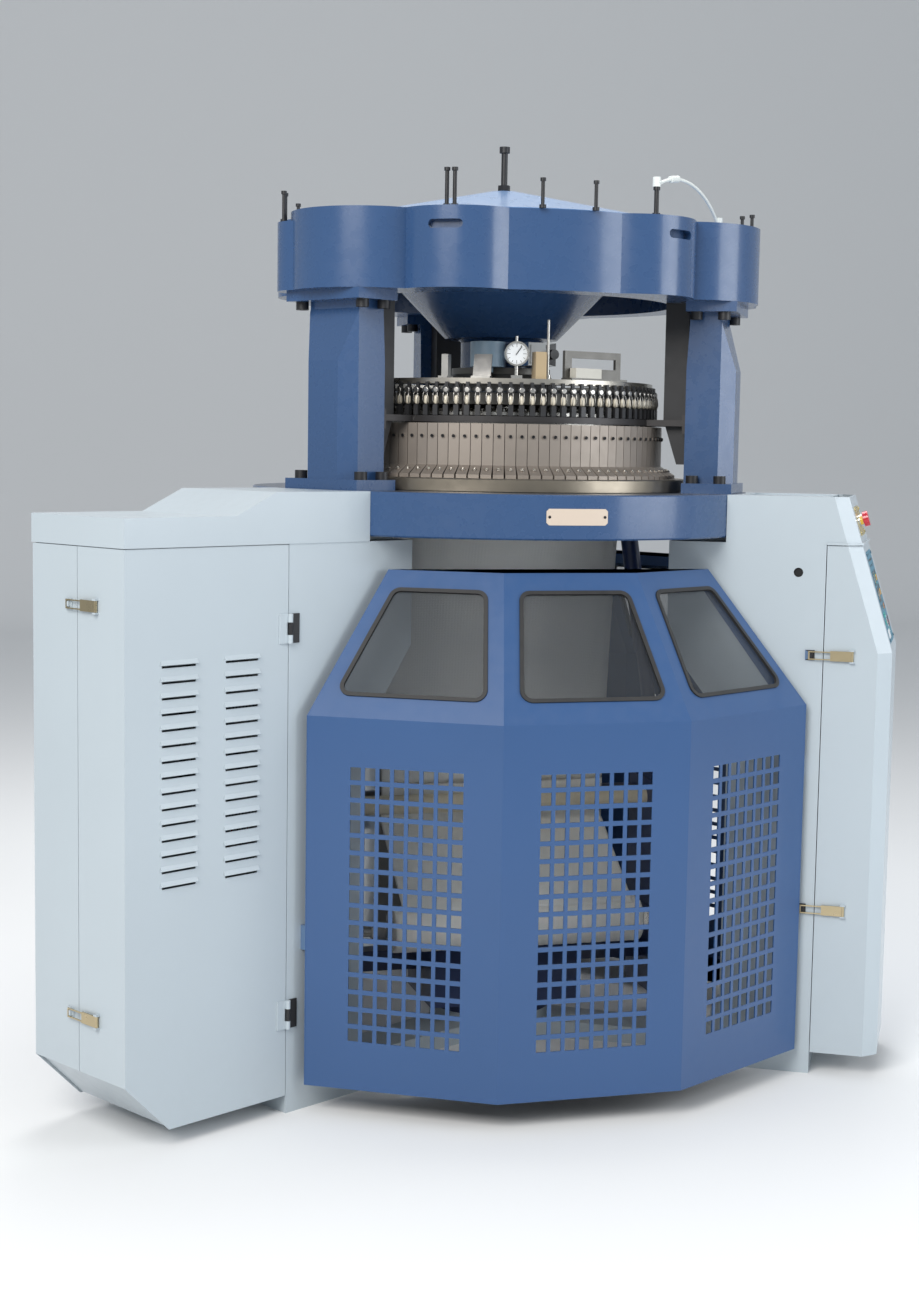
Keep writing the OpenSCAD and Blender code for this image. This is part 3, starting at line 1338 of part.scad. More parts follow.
base_spider();
leg_left();
leg_right();
leg_back();
bed_plate();
columns();
column_ducts();
frame_bolts();
top_frame();
dial_cone();
top_dome();
top_studs();
air_hose();
cam_base_ring();
cam_boxes();
feeder_ring();
yarn_feeders();
dial_cams();
head_brackets();
dial_gauge();
left_lid();
control_cap();
back_cover();
button_plate();
hinge_blocks();
drive_motor();
electrical_plate();
drive_belt();
needle_cylinder();
ring_gear();
needle_dial();
dial_gear();
drive_shaft();
motor_pulley();
takedown_frame();
takedown_arms();
spreader();
fabric_tube();
fabric_web();
nip_roller_front();
nip_roller_back();
fabric_roll();
roll_shaft();
gate_front();
gate_left();
gate_right();
panes_front();
panes_left();
panes_right();
left_door();
left_rear_cover();
control_cover();
control_panel();
left_latch_upper();
left_latch_lower();
control_latch_upper();
control_latch_lower();
button_yellow();
button_red();
button_green();
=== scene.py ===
"""Industrial circular knitting machine: materials, fabric and panel over the CAD frame."""
import math

import bmesh
import bpy
from mathutils import Matrix, Vector


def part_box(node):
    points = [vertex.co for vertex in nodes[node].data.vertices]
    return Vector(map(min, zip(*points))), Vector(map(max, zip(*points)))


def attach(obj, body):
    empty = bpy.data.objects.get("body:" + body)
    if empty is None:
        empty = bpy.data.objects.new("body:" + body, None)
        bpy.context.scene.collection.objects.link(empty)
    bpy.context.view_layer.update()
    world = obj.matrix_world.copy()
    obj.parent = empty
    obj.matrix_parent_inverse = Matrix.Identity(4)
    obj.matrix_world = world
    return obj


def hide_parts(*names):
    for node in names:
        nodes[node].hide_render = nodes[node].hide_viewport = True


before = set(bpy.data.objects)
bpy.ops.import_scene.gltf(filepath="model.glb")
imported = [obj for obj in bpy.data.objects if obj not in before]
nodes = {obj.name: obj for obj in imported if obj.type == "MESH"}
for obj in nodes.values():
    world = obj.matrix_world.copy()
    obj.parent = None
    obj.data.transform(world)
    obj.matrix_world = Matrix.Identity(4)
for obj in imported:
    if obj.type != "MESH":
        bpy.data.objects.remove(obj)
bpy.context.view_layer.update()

# ---------------------------------------------------------------- camera
# Stands where the fit to the machine's outline puts it: place, yaw, pitch and roll.
CAMERA_PLACE = Vector((-1.540, -5.137, 1.620))
LENS, SENSOR_WIDTH = 54, 36
YAW, PITCH, ROLL = (math.radians(a) for a in (15.62, -5.99, -0.935))
forward = Vector((math.sin(YAW) * math.cos(PITCH), math.cos(YAW) * math.cos(PITCH),
                  math.sin(PITCH)))
level = Vector((math.cos(YAW), -math.sin(YAW), 0))
upward = level.cross(forward)
camera_x = level * math.cos(ROLL) - upward * math.sin(ROLL)
camera_y = level * math.sin(ROLL) + upward * math.cos(ROLL)
camera = bpy.data.objects.new("camera", bpy.data.cameras.new("camera"))
bpy.context.scene.collection.objects.link(camera)
camera.matrix_world = Matrix.LocRotScale(
    CAMERA_PLACE, Matrix((camera_x, camera_y, -forward)).transposed(), None)
camera.data.sensor_width = SENSOR_WIDTH
camera.data.lens = LENS
bpy.context.scene.camera = camera
bpy.context.scene.view_settings.view_transform = "Standard"

# ---------------------------------------------------------------- floor and light
# A pale floor that curves up into a backdrop, a big soft key and two fills.
FLOOR_HALF = 14
BACKDROP_Y, BACKDROP_RISE = 13, 9
CURVE_R = 1.5
CURVE_START = BACKDROP_Y - CURVE_R
STUDIO_BLUE, STUDIO_STRENGTH = (0.80, 0.86, 0.92, 1), 0.55


def link(name, data):
    """New object at the world origin."""
    obj = bpy.data.objects.new(name, data)
    bpy.context.scene.collection.objects.link(obj)
    return obj


def area_light(name, place, aim, size, power, colour=(1, 1, 1)):
    """Square area lamp at place, turned to aim."""
    lamp = bpy.data.lights.new(name, "AREA")
    lamp.size, lamp.energy, lamp.color = size, power, colour
    obj = link(name, lamp)
    turn = (Vector(aim) - Vector(place)).to_track_quat("-Z", "Y")
    obj.matrix_world = Matrix.LocRotScale(Vector(place), turn, None)


floor_mesh = bpy.data.meshes.new("floor")
sweep = [(-FLOOR_HALF, 0), (CURVE_START, 0)]
sweep += [(CURVE_START + CURVE_R * math.sin(a), CURVE_R - CURVE_R * math.cos(a))
          for a in (math.radians(10 * i) for i in range(1, 10))]
sweep.append((BACKDROP_Y, BACKDROP_RISE))
floor_mesh.from_pydata(
    [(x, y, z) for y, z in sweep for x in (-FLOOR_HALF, FLOOR_HALF)], [],
    [(2 * i, 2 * i + 1, 2 * i + 3, 2 * i + 2) for i in range(len(sweep) - 1)])
floor = link("floor", floor_mesh)
floor_mesh.polygons.foreach_set("use_smooth", [True] * len(floor_mesh.polygons))

area_light("key", (-3.6, -4.4, 4.6), (0, 0, 1.1), 3.2, 330, (1, 0.98, 0.95))
area_light("fill", (4.2, -3.4, 2.6), (0, 0, 1.0), 3.0, 120, (0.92, 0.96, 1))
area_light("top", (0.5, 1.5, 5.2), (0, 0, 1.2), 3.5, 160)
world = bpy.data.worlds.new("studio")
world.use_nodes = True
sky = world.node_tree.nodes["Background"]
sky.inputs["Color"].default_value = STUDIO_BLUE
sky.inputs["Strength"].default_value = STUDIO_STRENGTH
bpy.context.scene.world = world


# ---------------------------------------------------------------- shared surface group
# Every paint, metal and rubber here has a mottled colour, dust on what faces up, grime near the
# floor and a fine grain; each material gives the group its own values.
BROAD_SCALE, SPOT_SCALE = 2.1, 34
DUST_COLOUR, DUST_ROUGHNESS = (0.42, 0.40, 0.37, 1), 0.4
GRIME_COLOUR, GRIME_SHARE, GRIME_TOP = (0.09, 0.08, 0.07, 1), 1.4, 0.35
ROUGHNESS_SPREAD = 0.22
GRAIN_HEIGHT = 0.001
COAT_ROUGHNESS = 0.12


def build_surface_group():
    """Node group that turns a flat colour and roughness into a worn surface."""
    group = bpy.data.node_groups.new("surface", "ShaderNodeTree")
    face = group.interface
    face.new_socket("Colour", in_out="INPUT", socket_type="NodeSocketColor")
    for name in ("Roughness", "Mottle", "Grain scale", "Grain depth", "Dust"):
        face.new_socket(name, in_out="INPUT", socket_type="NodeSocketFloat")
    face.new_socket("Colour", in_out="OUTPUT", socket_type="NodeSocketColor")
    face.new_socket("Roughness", in_out="OUTPUT", socket_type="NodeSocketFloat")
    face.new_socket("Normal", in_out="OUTPUT", socket_type="NodeSocketVector")
    new, join = group.nodes.new, group.links.new
    given, out = new("NodeGroupInput"), new("NodeGroupOutput")
    coord = new("ShaderNodeTexCoord").outputs["Object"]

    def noise(scale, detail):
        tex = new("ShaderNodeTexNoise")
        tex.inputs["Detail"].default_value = detail
        join(coord, tex.inputs["Vector"])
        if isinstance(scale, (int, float)):
            tex.inputs["Scale"].default_value = scale
        else:
            join(scale, tex.inputs["Scale"])
        return tex.outputs["Fac"]

    def math_node(kind, a, b):
        node = new("ShaderNodeMath")
        node.operation = kind
        for socket, value in zip(node.inputs, (a, b)):
            if isinstance(value, (int, float)):
                socket.default_value = value
            else:
                join(value, socket)
        return node.outputs[0]

    def blend(kind, factor, a, b):
        node = new("ShaderNodeMix")
        node.data_type, node.blend_type = "RGBA", kind
        for socket, value in ((node.inputs[0], factor), (node.inputs[6], a), (node.inputs[7], b)):
            if isinstance(value, (int, float, tuple)):
                socket.default_value = value
            else:
                join(value, socket)
        return node.outputs[2]

    broad = noise(BROAD_SCALE, 8)
    spots = noise(SPOT_SCALE, 6)
    shade = math_node("MULTIPLY", math_node("SUBTRACT", broad, 0.5), given.outputs["Mottle"])
    value = new("ShaderNodeHueSaturation")
    join(given.outputs["Colour"], value.inputs["Color"])
    join(math_node("ADD", shade, 1.0), value.inputs["Value"])
    normal = new("ShaderNodeNewGeometry").outputs["Normal"]
    split = new("ShaderNodeSeparateXYZ")
    join(normal, split.inputs[0])
    upper = math_node("MAXIMUM", split.outputs["Z"], 0.0)
    dusty = math_node("MULTIPLY", math_node("MULTIPLY", upper, spots), given.outputs["Dust"])
    dust = blend("MIX", dusty, value.outputs["Color"], DUST_COLOUR)
    height = new("ShaderNodeSeparateXYZ")
    join(coord, height.inputs[0])
    low = math_node("SUBTRACT", GRIME_TOP, height.outputs["Z"])
    grime = math_node("MULTIPLY", math_node("MULTIPLY", math_node("MAXIMUM", low, 0.0), spots),
                      math_node("MULTIPLY", given.outputs["Dust"], GRIME_SHARE))
    join(blend("MIX", grime, dust, GRIME_COLOUR), out.inputs["Colour"])
    rough = math_node("MULTIPLY", math_node("SUBTRACT", spots, 0.5), ROUGHNESS_SPREAD)
    join(math_node("ADD", math_node("ADD", rough, given.outputs["Roughness"]),
                   math_node("MULTIPLY", dusty, DUST_ROUGHNESS)), out.inputs["Roughness"])
    bump = new("ShaderNodeBump")
    bump.inputs["Distance"].default_value = GRAIN_HEIGHT
    join(noise(given.outputs["Grain scale"], 3), bump.inputs["Height"])
    join(given.outputs["Grain depth"], bump.inputs["Strength"])
    join(bump.outputs["Normal"], out.inputs["Normal"])
    return group


surface_group = build_surface_group()


def finish_material(name, colour, rough, metal=0.0, mottle=0.12, grain=240, depth=0.05,
                    dust=0.12, coat=0.0):
    """Material that wears the surface group with its own colour, grain and dust."""
    mat = bpy.data.materials.new(name)
    mat.use_nodes = True
    tree = mat.node_tree
    shader = tree.nodes["Principled BSDF"]
    group = tree.nodes.new("ShaderNodeGroup")
    group.node_tree = surface_group
    for socket, value in (("Colour", (*colour, 1)), ("Roughness", rough), ("Mottle", mottle),
                          ("Grain scale", grain), ("Grain depth", depth), ("Dust", dust)):
        group.inputs[socket].default_value = value
    tree.links.new(group.outputs["Colour"], shader.inputs["Base Color"])
    tree.links.new(group.outputs["Roughness"], shader.inputs["Roughness"])
    tree.links.new(group.outputs["Normal"], shader.inputs["Normal"])
    shader.inputs["Metallic"].default_value = metal
    shader.inputs["Coat Weight"].default_value = coat
    shader.inputs["Coat Roughness"].default_value = COAT_ROUGHNESS
    return mat


# ---------------------------------------------------------------- painted metal
# Cabinets and legs of folded sheet in duck-egg grey, iron castings in gloss steel blue, gates of
# bent sheet in a darker blue, black studs and bolts; all sprayed. The column ducts are black as
# painted shade of the columns' channels. The bed's top is ground and left bare. Hinge blocks
# within GATE_BLOCK_R are the gates' blue ones.
RIGHT_LEG_TURN = -math.radians(330)
LEG_INNER_R, FACING_IN = 0.70, -0.6
HOLE_R, HOLE_Z, HOLE_D, HOLE_HALF_WIDTH = 0.834, 1.311, 0.024, 0.2
BED_TOP_Z = 1.5
GATE_BLOCK_R = 0.888


def dress(material, *names):
    """Give CAD nodes one material."""
    for name in names:
        mesh = nodes[name].data
        mesh.materials.clear()
        mesh.materials.append(material)


def dress_by(name, materials, pick):
    """Give one CAD node several materials; pick(centre, normal) names each face's own."""
    mesh = nodes[name].data
    mesh.materials.clear()
    for material in materials:
        mesh.materials.append(material)
    for face in mesh.polygons:
        face.material_index = pick(face.center, face.normal)


cabinet_paint = finish_material("cabinet paint", (0.45, 0.51, 0.55), 0.36, depth=0.02, coat=0.2)
dress(cabinet_paint, "base_spider", "left_lid", "control_cap", "back_cover", "left_door",
      "left_rear_cover", "control_cover")
# Painted shade: the legs' faces that turn towards the machine's axis, under the bed, are dark grey.
leg_inner_shade = finish_material("leg inner painted shade", (0.17, 0.17, 0.16), 0.6, mottle=0.3, dust=0.3)
# Near-black painted shade inside the right leg's blind hole.
hole_painted_shade = finish_material("hole painted shade", (0.006, 0.006, 0.007), 0.7)


def pick_leg(centre, normal):
    """0 outside, 1 towards the machine's axis, 2 in the right leg's blind hole; 1 and 2 are painted
    shade.
    """
    local = Matrix.Rotation(RIGHT_LEG_TURN, 3, "Z") @ centre
    from_hole = math.hypot(local.x - HOLE_R, centre.z - HOLE_Z)
    if from_hole < 0.52 * HOLE_D and abs(local.y) < HOLE_HALF_WIDTH:
        return 2
    return int(centre.xy.length < LEG_INNER_R
               and normal.xy.dot(centre.xy.normalized()) < FACING_IN)


for name in ("leg_left", "leg_right", "leg_back"):
    dress_by(name, [cabinet_paint, leg_inner_shade, hole_painted_shade], pick_leg)
casting_paint = finish_material("casting paint", (0.028, 0.073, 0.178), 0.28, mottle=0.12,
                                depth=0.015, coat=0.4, dust=0.02)
dress(casting_paint, "columns", "top_frame", "dial_cone")
bed_steel = finish_material("bed top steel", (0.055, 0.075, 0.120), 0.28, metal=0.6, mottle=0.3)
dress_by("bed_plate", [casting_paint, bed_steel],
         lambda centre, normal: int(normal.z > 0.9 and centre.z > BED_TOP_Z))
dress(finish_material("dome paint", (0.12, 0.24, 0.46), 0.3, coat=0.4, dust=0.05), "top_dome")
gate_paint = finish_material("gate paint", (0.027, 0.082, 0.215), 0.36, mottle=0.12, depth=0.02,
                             coat=0.2, dust=0.06)
dress(gate_paint, "gate_front", "gate_left", "gate_right")
dress(finish_material("frame paint", (0.016, 0.035, 0.115), 0.38, dust=0.25, coat=0.2),
      "takedown_frame", "takedown_arms")
black_paint_and_shade = finish_material("black paint and painted shade", (0.012, 0.012, 0.014), 0.45, depth=0.12, dust=0.2)
# The black on the column ducts is painted shade in the columns' channels; studs and bolts are
# black.
dress(black_paint_and_shade, "column_ducts", "top_studs", "frame_bolts")
block_blue = finish_material("block blue", (0.10, 0.17, 0.29), 0.4, dust=0.2)
dress_by("hinge_blocks", [black_paint_and_shade, block_blue],
         lambda centre, normal: int(centre.xy.length < GATE_BLOCK_R))
dress(finish_material("motor grey", (0.07, 0.09, 0.12), 0.45, dust=0.3), "drive_motor")

# ---------------------------------------------------------------- bare metal
# Oily steel cam boxes on a turned base ring, a ground cylinder, dial and shafts, cut gears, black
# holders for the yarn and cast brass latches. Nothing here is painted but the holders.
LOWER_RING_TOP = 1.77
box_steel = finish_material("cam box steel", (0.30, 0.26, 0.225), 0.48, metal=0.6, mottle=0.5,
                            grain=60, depth=0.08, dust=0.1)
dress(box_steel, "cam_boxes")
dress(finish_material("base ring steel", (0.30, 0.26, 0.205), 0.33, metal=0.9, mottle=0.5,
                      dust=0.15), "cam_base_ring")
bright_steel = finish_material("bright steel", (0.56, 0.54, 0.50), 0.25, metal=1.0, mottle=0.25)
dress(bright_steel, "needle_cylinder", "needle_dial", "drive_shaft", "motor_pulley", "spreader",
      "roll_shaft")
dress(finish_material("gear steel", (0.32, 0.29, 0.25), 0.4, metal=0.9, mottle=0.4),
      "ring_gear", "dial_gear")
head_grey = finish_material("head grey", (0.13, 0.125, 0.115), 0.4, metal=0.7, mottle=0.4)
dress(head_grey, "dial_cams")
carrier_bright = finish_material("carrier bright", (0.44, 0.41, 0.36), 0.3, metal=0.95, mottle=0.3)
carrier_dark = finish_material("carrier dark", (0.045, 0.042, 0.042), 0.4, metal=0.6, mottle=0.4)
dress_by("feeder_ring", [carrier_bright, carrier_dark],
         lambda centre, normal: int(centre.z < LOWER_RING_TOP))
dress(finish_material("feeder black", (0.03, 0.03, 0.032), 0.4, metal=0.2, mottle=0.3),
      "yarn_feeders")
dress(finish_material("latch brass", (0.52, 0.43, 0.27), 0.3, metal=1.0, mottle=0.3),
      "left_latch_upper", "left_latch_lower", "control_latch_upper", "control_latch_lower")

# ---------------------------------------------------------------- fittings on the carrier ring
# Under the cone hang a blue drive box with its switch and a small motor. On the carrier ring
# stand bright, tan and grey blocks and a handle plate. Castings, painted or bare, all bolted on.
UNDER_CONE_R, MOTOR_END_A = 0.33, 262
DRIVE_BOX_A, DRIVE_BOX_FACE, KNOB_SIDE = 283, 0.2178, 0.0125
TAN_FROM_A, BRIGHT_FROM_A, HANDLE_FROM_A = 262, 270.6, 275
HANDLE_A, PALE_BLOCK_X, PALE_BLOCK_Z = 292, 0.3805, 1.7955
GREY, MOTOR, BOX, FACE, KNOB, BRIGHT, TAN, PALE = range(8)


def bearing(point):
    """Angle round the machine's axis, in degrees from 0 to 360."""
    return math.degrees(math.atan2(point.y, point.x)) % 360


def pick_fitting(centre, normal):
    """Which material a face of the head's brackets wears, by where it lies."""
    angle, radius = bearing(centre), centre.xy.length
    if radius < UNDER_CONE_R:
        if angle < MOTOR_END_A:
            return MOTOR
        local = Matrix.Rotation(-math.radians(DRIVE_BOX_A), 3, "Z") @ centre
        if local.x < DRIVE_BOX_FACE:
            return BOX
        return KNOB if local.y > KNOB_SIDE else FACE
    if angle > HANDLE_FROM_A:
        local = Matrix.Rotation(-math.radians(HANDLE_A), 3, "Z") @ centre
        return PALE if local.x > PALE_BLOCK_X and centre.z > PALE_BLOCK_Z else GREY
    return TAN if TAN_FROM_A < angle <= BRIGHT_FROM_A else BRIGHT


dress_by("head_brackets", [
    head_grey,
    finish_material("motor blue", (0.30, 0.42, 0.52), 0.4),
    finish_material("drive box blue", (0.055, 0.120, 0.260), 0.35, coat=0.3),
    finish_material("switch face", (0.55, 0.56, 0.55), 0.4, dust=0.05),
    finish_material("switch knob", (0.012, 0.012, 0.014), 0.35, dust=0.05),
    finish_material("bracket bright", (0.55, 0.53, 0.49), 0.3, metal=0.9, mottle=0.3),
    finish_material("block tan", (0.42, 0.32, 0.19), 0.45),
    finish_material("block pale", (0.52, 0.50, 0.44), 0.4)], pick_fitting)

# ---------------------------------------------------------------- plastics and rubber
# A nylon air hose, a rubber belt, nip rollers with rubber covers, the panel's film and three
# moulded push buttons. Each is one colour all through, so none wears a coat of paint.
dress(finish_material("hose nylon", (0.72, 0.75, 0.72), 0.4, dust=0.05), "air_hose")
dress(finish_material("belt rubber", (0.012, 0.012, 0.012), 0.75, depth=0.2), "drive_belt")
dress(finish_material("roller rubber", (0.05, 0.05, 0.052), 0.6, depth=0.15), "nip_roller_back")
dress(finish_material("roller cream", (0.70, 0.64, 0.50), 0.5, depth=0.1), "nip_roller_front")
dress(finish_material("panel film", (0.075, 0.215, 0.305), 0.5, depth=0.08, grain=700,
                      dust=0.05), "control_panel")
dress(finish_material("button yellow", (0.78, 0.50, 0.035), 0.3, coat=0.4, dust=0.05),
      "button_yellow")
dress(finish_material("button red", (0.58, 0.012, 0.035), 0.22, coat=0.6, dust=0.05),
      "button_red")
dress(finish_material("button green", (0.008, 0.10, 0.05), 0.3, coat=0.4, dust=0.05),
      "button_green")

# ---------------------------------------------------------------- window panes
# Clear acrylic tinted dark as painted shade of the machine's inside, three panes to a gate,
# leaning in and held by a black rubber seal.
# Pane and seal are one node: faces near the gate's outer plane are seal, deeper ones pane.
GATE_R, GATE_TOP_R = 0.887, 0.651
WAIST_Z, GATE_TOP_Z = 0.975, 1.314
FACET = 30.5
SHEET = 0.003
SEAL_DEPTH = 0.95 * SHEET
PANE_ALPHA, PANE_COAT = 0.28, 0.3
# The panes' dark tint is painted shade of the dim inside behind them.
pane_acrylic_and_shade = finish_material("pane acrylic and painted shade", (0.05, 0.055, 0.06), 0.06, depth=0.0, mottle=0.05,
                             dust=0.1)
pane_shader = pane_acrylic_and_shade.node_tree.nodes["Principled BSDF"]
pane_shader.inputs["Alpha"].default_value = PANE_ALPHA
pane_shader.inputs["Coat Weight"].default_value = PANE_COAT
seal_rubber = finish_material("seal rubber", (0.012, 0.012, 0.013), 0.6, depth=0.15)
inradius = GATE_R * math.cos(math.radians(FACET / 2))
lean = math.atan2((GATE_R - GATE_TOP_R) * math.cos(math.radians(FACET / 2)),
                  GATE_TOP_Z - WAIST_Z)


def pane_or_seal(planes):
    """Pick for one gate: 0 for the pane, 1 for the seal, by depth behind the nearest plane."""
    def pick(centre, normal):
        turn = math.atan2(centre.y, centre.x)
        around, low, out = min(planes, key=lambda p: abs(math.remainder(turn - p[0], math.tau)))
        return int((centre - low).dot(out) > -SEAL_DEPTH)
    return pick


for name, gate_angle in (("front", 270), ("left", 150), ("right", 30)):
    planes = []
    for k in (-1, 0, 1):
        around = math.radians(gate_angle + k * FACET)
        low = Vector((inradius * math.cos(around), inradius * math.sin(around), WAIST_Z))
        out = Vector((math.cos(around) * math.cos(lean), math.sin(around) * math.cos(lean),
                      math.sin(lean)))
        planes.append((around, low, out))
    dress_by("panes_" + name, [pane_acrylic_and_shade, seal_rubber], pane_or_seal(planes))

# ---------------------------------------------------------------- knitted cloth
# Off-white jersey, knitted as a tube. Wales run down the cloth and courses across it, both as
# bump, because a stitch is far finer than the mesh. Clamped to its flat width by the rollers.
WALE = 0.0016
COURSES_PER_WALE = 0.7
STITCH_HEIGHT, STITCH_STRENGTH, STITCH_WANDER = 0.0006, 0.6, 0.6
CLOTH_SHEEN, CLOTH_SCATTER = 0.35, 0.05


def knit_material(name):
    """Cloth whose wales and courses follow its own UV map, in metres."""
    mat = finish_material(name, (0.90, 0.89, 0.85), 0.85, mottle=0.12, dust=0.0)
    tree = mat.node_tree
    shader = tree.nodes["Principled BSDF"]
    shader.inputs["Sheen Weight"].default_value = CLOTH_SHEEN
    shader.inputs["Subsurface Weight"].default_value = CLOTH_SCATTER
    coord = tree.nodes.new("ShaderNodeUVMap")
    coord.uv_map = "cloth"
    waves = []
    for direction, scale in (("X", 1 / WALE), ("Y", COURSES_PER_WALE / WALE)):
        wave = tree.nodes.new("ShaderNodeTexWave")
        wave.bands_direction = direction
        wave.inputs["Scale"].default_value = scale / math.tau
        wave.inputs["Distortion"].default_value = STITCH_WANDER
        tree.links.new(coord.outputs["UV"], wave.inputs["Vector"])
        waves.append(wave.outputs["Fac"])
    total = tree.nodes.new("ShaderNodeMath")
    total.operation = "MULTIPLY"
    tree.links.new(waves[0], total.inputs[0])
    tree.links.new(waves[1], total.inputs[1])
    bump = tree.nodes.new("ShaderNodeBump")
    bump.inputs["Distance"].default_value = STITCH_HEIGHT
    bump.inputs["Strength"].default_value = STITCH_STRENGTH
    tree.links.new(total.outputs[0], bump.inputs["Height"])
    tree.links.new(bump.outputs["Normal"], shader.inputs["Normal"])
    return mat


def cloth_grid(name, rows, closed, material, thick=0.0):
    """Grid mesh from rows of points, with UVs in metres along the cloth."""
    mesh = bmesh.new()
    grid = [[mesh.verts.new(p) for p in row] for row in rows]
    across = len(rows[0])
    layer = mesh.loops.layers.uv.new("cloth")
    run = [0.0]
    for a, b in zip(rows, rows[1:]):
        run.append(run[-1] + (Vector(b[0]) - Vector(a[0])).length)
    mid = rows[len(rows) // 2]
    step = (Vector(mid[1]) - Vector(mid[0])).length
    for j in range(len(rows) - 1):
        for i in range(across if closed else across - 1):
            n = (i + 1) % across
            face = mesh.faces.new((grid[j][i], grid[j][n], grid[j + 1][n], grid[j + 1][i]))
            face.smooth = True
            for loop, (u, v) in zip(face.loops, ((i, j), (i + 1, j), (i + 1, j + 1), (i, j + 1))):
                loop[layer].uv = (u * step, run[v])
    data = bpy.data.meshes.new(name)
    mesh.normal_update()
    mesh.to_mesh(data)
    mesh.free()
    data.materials.append(material)
    obj = link(name, data)
    if thick:
        shell = obj.modifiers.new("thickness", "SOLIDIFY")
        shell.thickness, shell.offset = thick, 0
    return obj


# The tube hangs from the cylinder and flattens towards the rollers, with soft pleats.
knit = knit_material("knitted fabric")
CLOTH_INSET = 0.0016
TUBE_TOP, TUBE_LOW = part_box("fabric_tube")[1][2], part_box("fabric_tube")[0][2]
TUBE_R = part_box("fabric_tube")[1][0] - CLOTH_INSET
WEB_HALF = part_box("fabric_web")[1][0]
FLAT_HALF, WAIST = 0.0075, 0.35
TUBE_THICK, PLEAT_DEPTH = 0.0012, 0.006
ROWS_DOWN, POINTS_ROUND = 60, 192
tube_rows = []
for j in range(ROWS_DOWN + 1):
    t = j / ROWS_DOWN
    half_x = TUBE_R * (1 - t) + (WEB_HALF - CLOTH_INSET) * t
    half_y = TUBE_R * (1 - t) * (1 - WAIST * math.sin(math.pi * t)) + FLAT_HALF * t
    row = []
    for i in range(POINTS_ROUND):
        a = i * math.tau / POINTS_ROUND
        pleat = PLEAT_DEPTH * math.sin(math.pi * min(t * 1.3, 1)) * (1 - t) * (
            0.5 + 0.5 * math.sin(17 * a + 2 * t) * math.sin(5 * a + 1.7))
        shrink = 1 - pleat / max(half_y, 0.05)
        row.append((half_x * shrink * math.cos(a), half_y * shrink * math.sin(a),
                    TUBE_TOP - (TUBE_TOP - TUBE_LOW) * t))
    tube_rows.append(row)
tube = cloth_grid("knitted_tube", tube_rows, True, knit, TUBE_THICK)
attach(tube, "rotor")
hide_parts("fabric_tube")

# Flattened web: down between the rollers, then forward and down on to the roll.
NIP_LOW, NIP_DROP = 0.584, 0.11
WEB_THICK, WEB_CLEARANCE = 0.0009, 0.001
ROWS_IN_NIP, ROWS_TO_ROLL, POINTS_ACROSS = 12, 24, 96
roll_low, roll_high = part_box("fabric_roll")
ROLL_Y = (roll_low[1] + roll_high[1]) / 2
ROLL_Z = (roll_low[2] + roll_high[2]) / 2
ROLL_R = (roll_high[2] - roll_low[2]) / 2
reach = math.hypot(ROLL_Y, NIP_LOW - ROLL_Z)
web_r = ROLL_R + WEB_CLEARANCE
touch_turn = math.atan2(NIP_LOW - ROLL_Z, -ROLL_Y) + math.acos(web_r / reach)
touch = (ROLL_Y + web_r * math.cos(touch_turn), ROLL_Z + web_r * math.sin(touch_turn))
path = [(0, TUBE_LOW - NIP_DROP * k / ROWS_IN_NIP) for k in range(ROWS_IN_NIP + 1)]
path += [(touch[0] * k / ROWS_TO_ROLL, NIP_LOW + (touch[1] - NIP_LOW) * k / ROWS_TO_ROLL)
         for k in range(1, ROWS_TO_ROLL + 1)]
web_rows = [[(-WEB_HALF + 2 * WEB_HALF * i / POINTS_ACROSS, y, z)
             for i in range(POINTS_ACROSS + 1)] for y, z in path]
web = cloth_grid("fabric_web_sheet", web_rows, False, knit, WEB_THICK)
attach(web, "rotor")
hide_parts("fabric_web")

# The roll: slightly uneven layers along its length, and the layers' edges in steps at each end.
ROLL_HALF = roll_high[0]
SHAFT_R = 0.0152
END_LAYERS, END_STEP, EDGE_ROUND = 22, 0.0012, 0.004
BODY_STEPS, BODY_FROM = 60, 0.012
BODY_SINK, BODY_WAVE = 0.0008, 0.0007
ROLL_SIDES = 96
profile = [(-ROLL_HALF + 0.001, SHAFT_R)]
profile += [(-ROLL_HALF + END_STEP * (k % 2),
             SHAFT_R + (ROLL_R - EDGE_ROUND - SHAFT_R) * k / END_LAYERS)
            for k in range(1, END_LAYERS + 1)]
profile += [(-ROLL_HALF + EDGE_ROUND, ROLL_R - 0.0015)]
left_end = profile[:]
profile += [(-ROLL_HALF + BODY_FROM + 2 * (ROLL_HALF - BODY_FROM) * k / BODY_STEPS,
             ROLL_R - BODY_SINK - BODY_WAVE * math.sin(k * 1.9) * math.sin(k * 0.7))
            for k in range(BODY_STEPS + 1)]
profile += [(-x, r) for x, r in reversed(left_end)]
roll_rows = [[(x, ROLL_Y + r * math.cos(i * math.tau / ROLL_SIDES),
               ROLL_Z + r * math.sin(i * math.tau / ROLL_SIDES)) for i in range(ROLL_SIDES)]
             for x, r in profile]
roll = cloth_grid("wound_fabric", roll_rows, True, knit)
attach(roll, "roll")
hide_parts("fabric_roll")

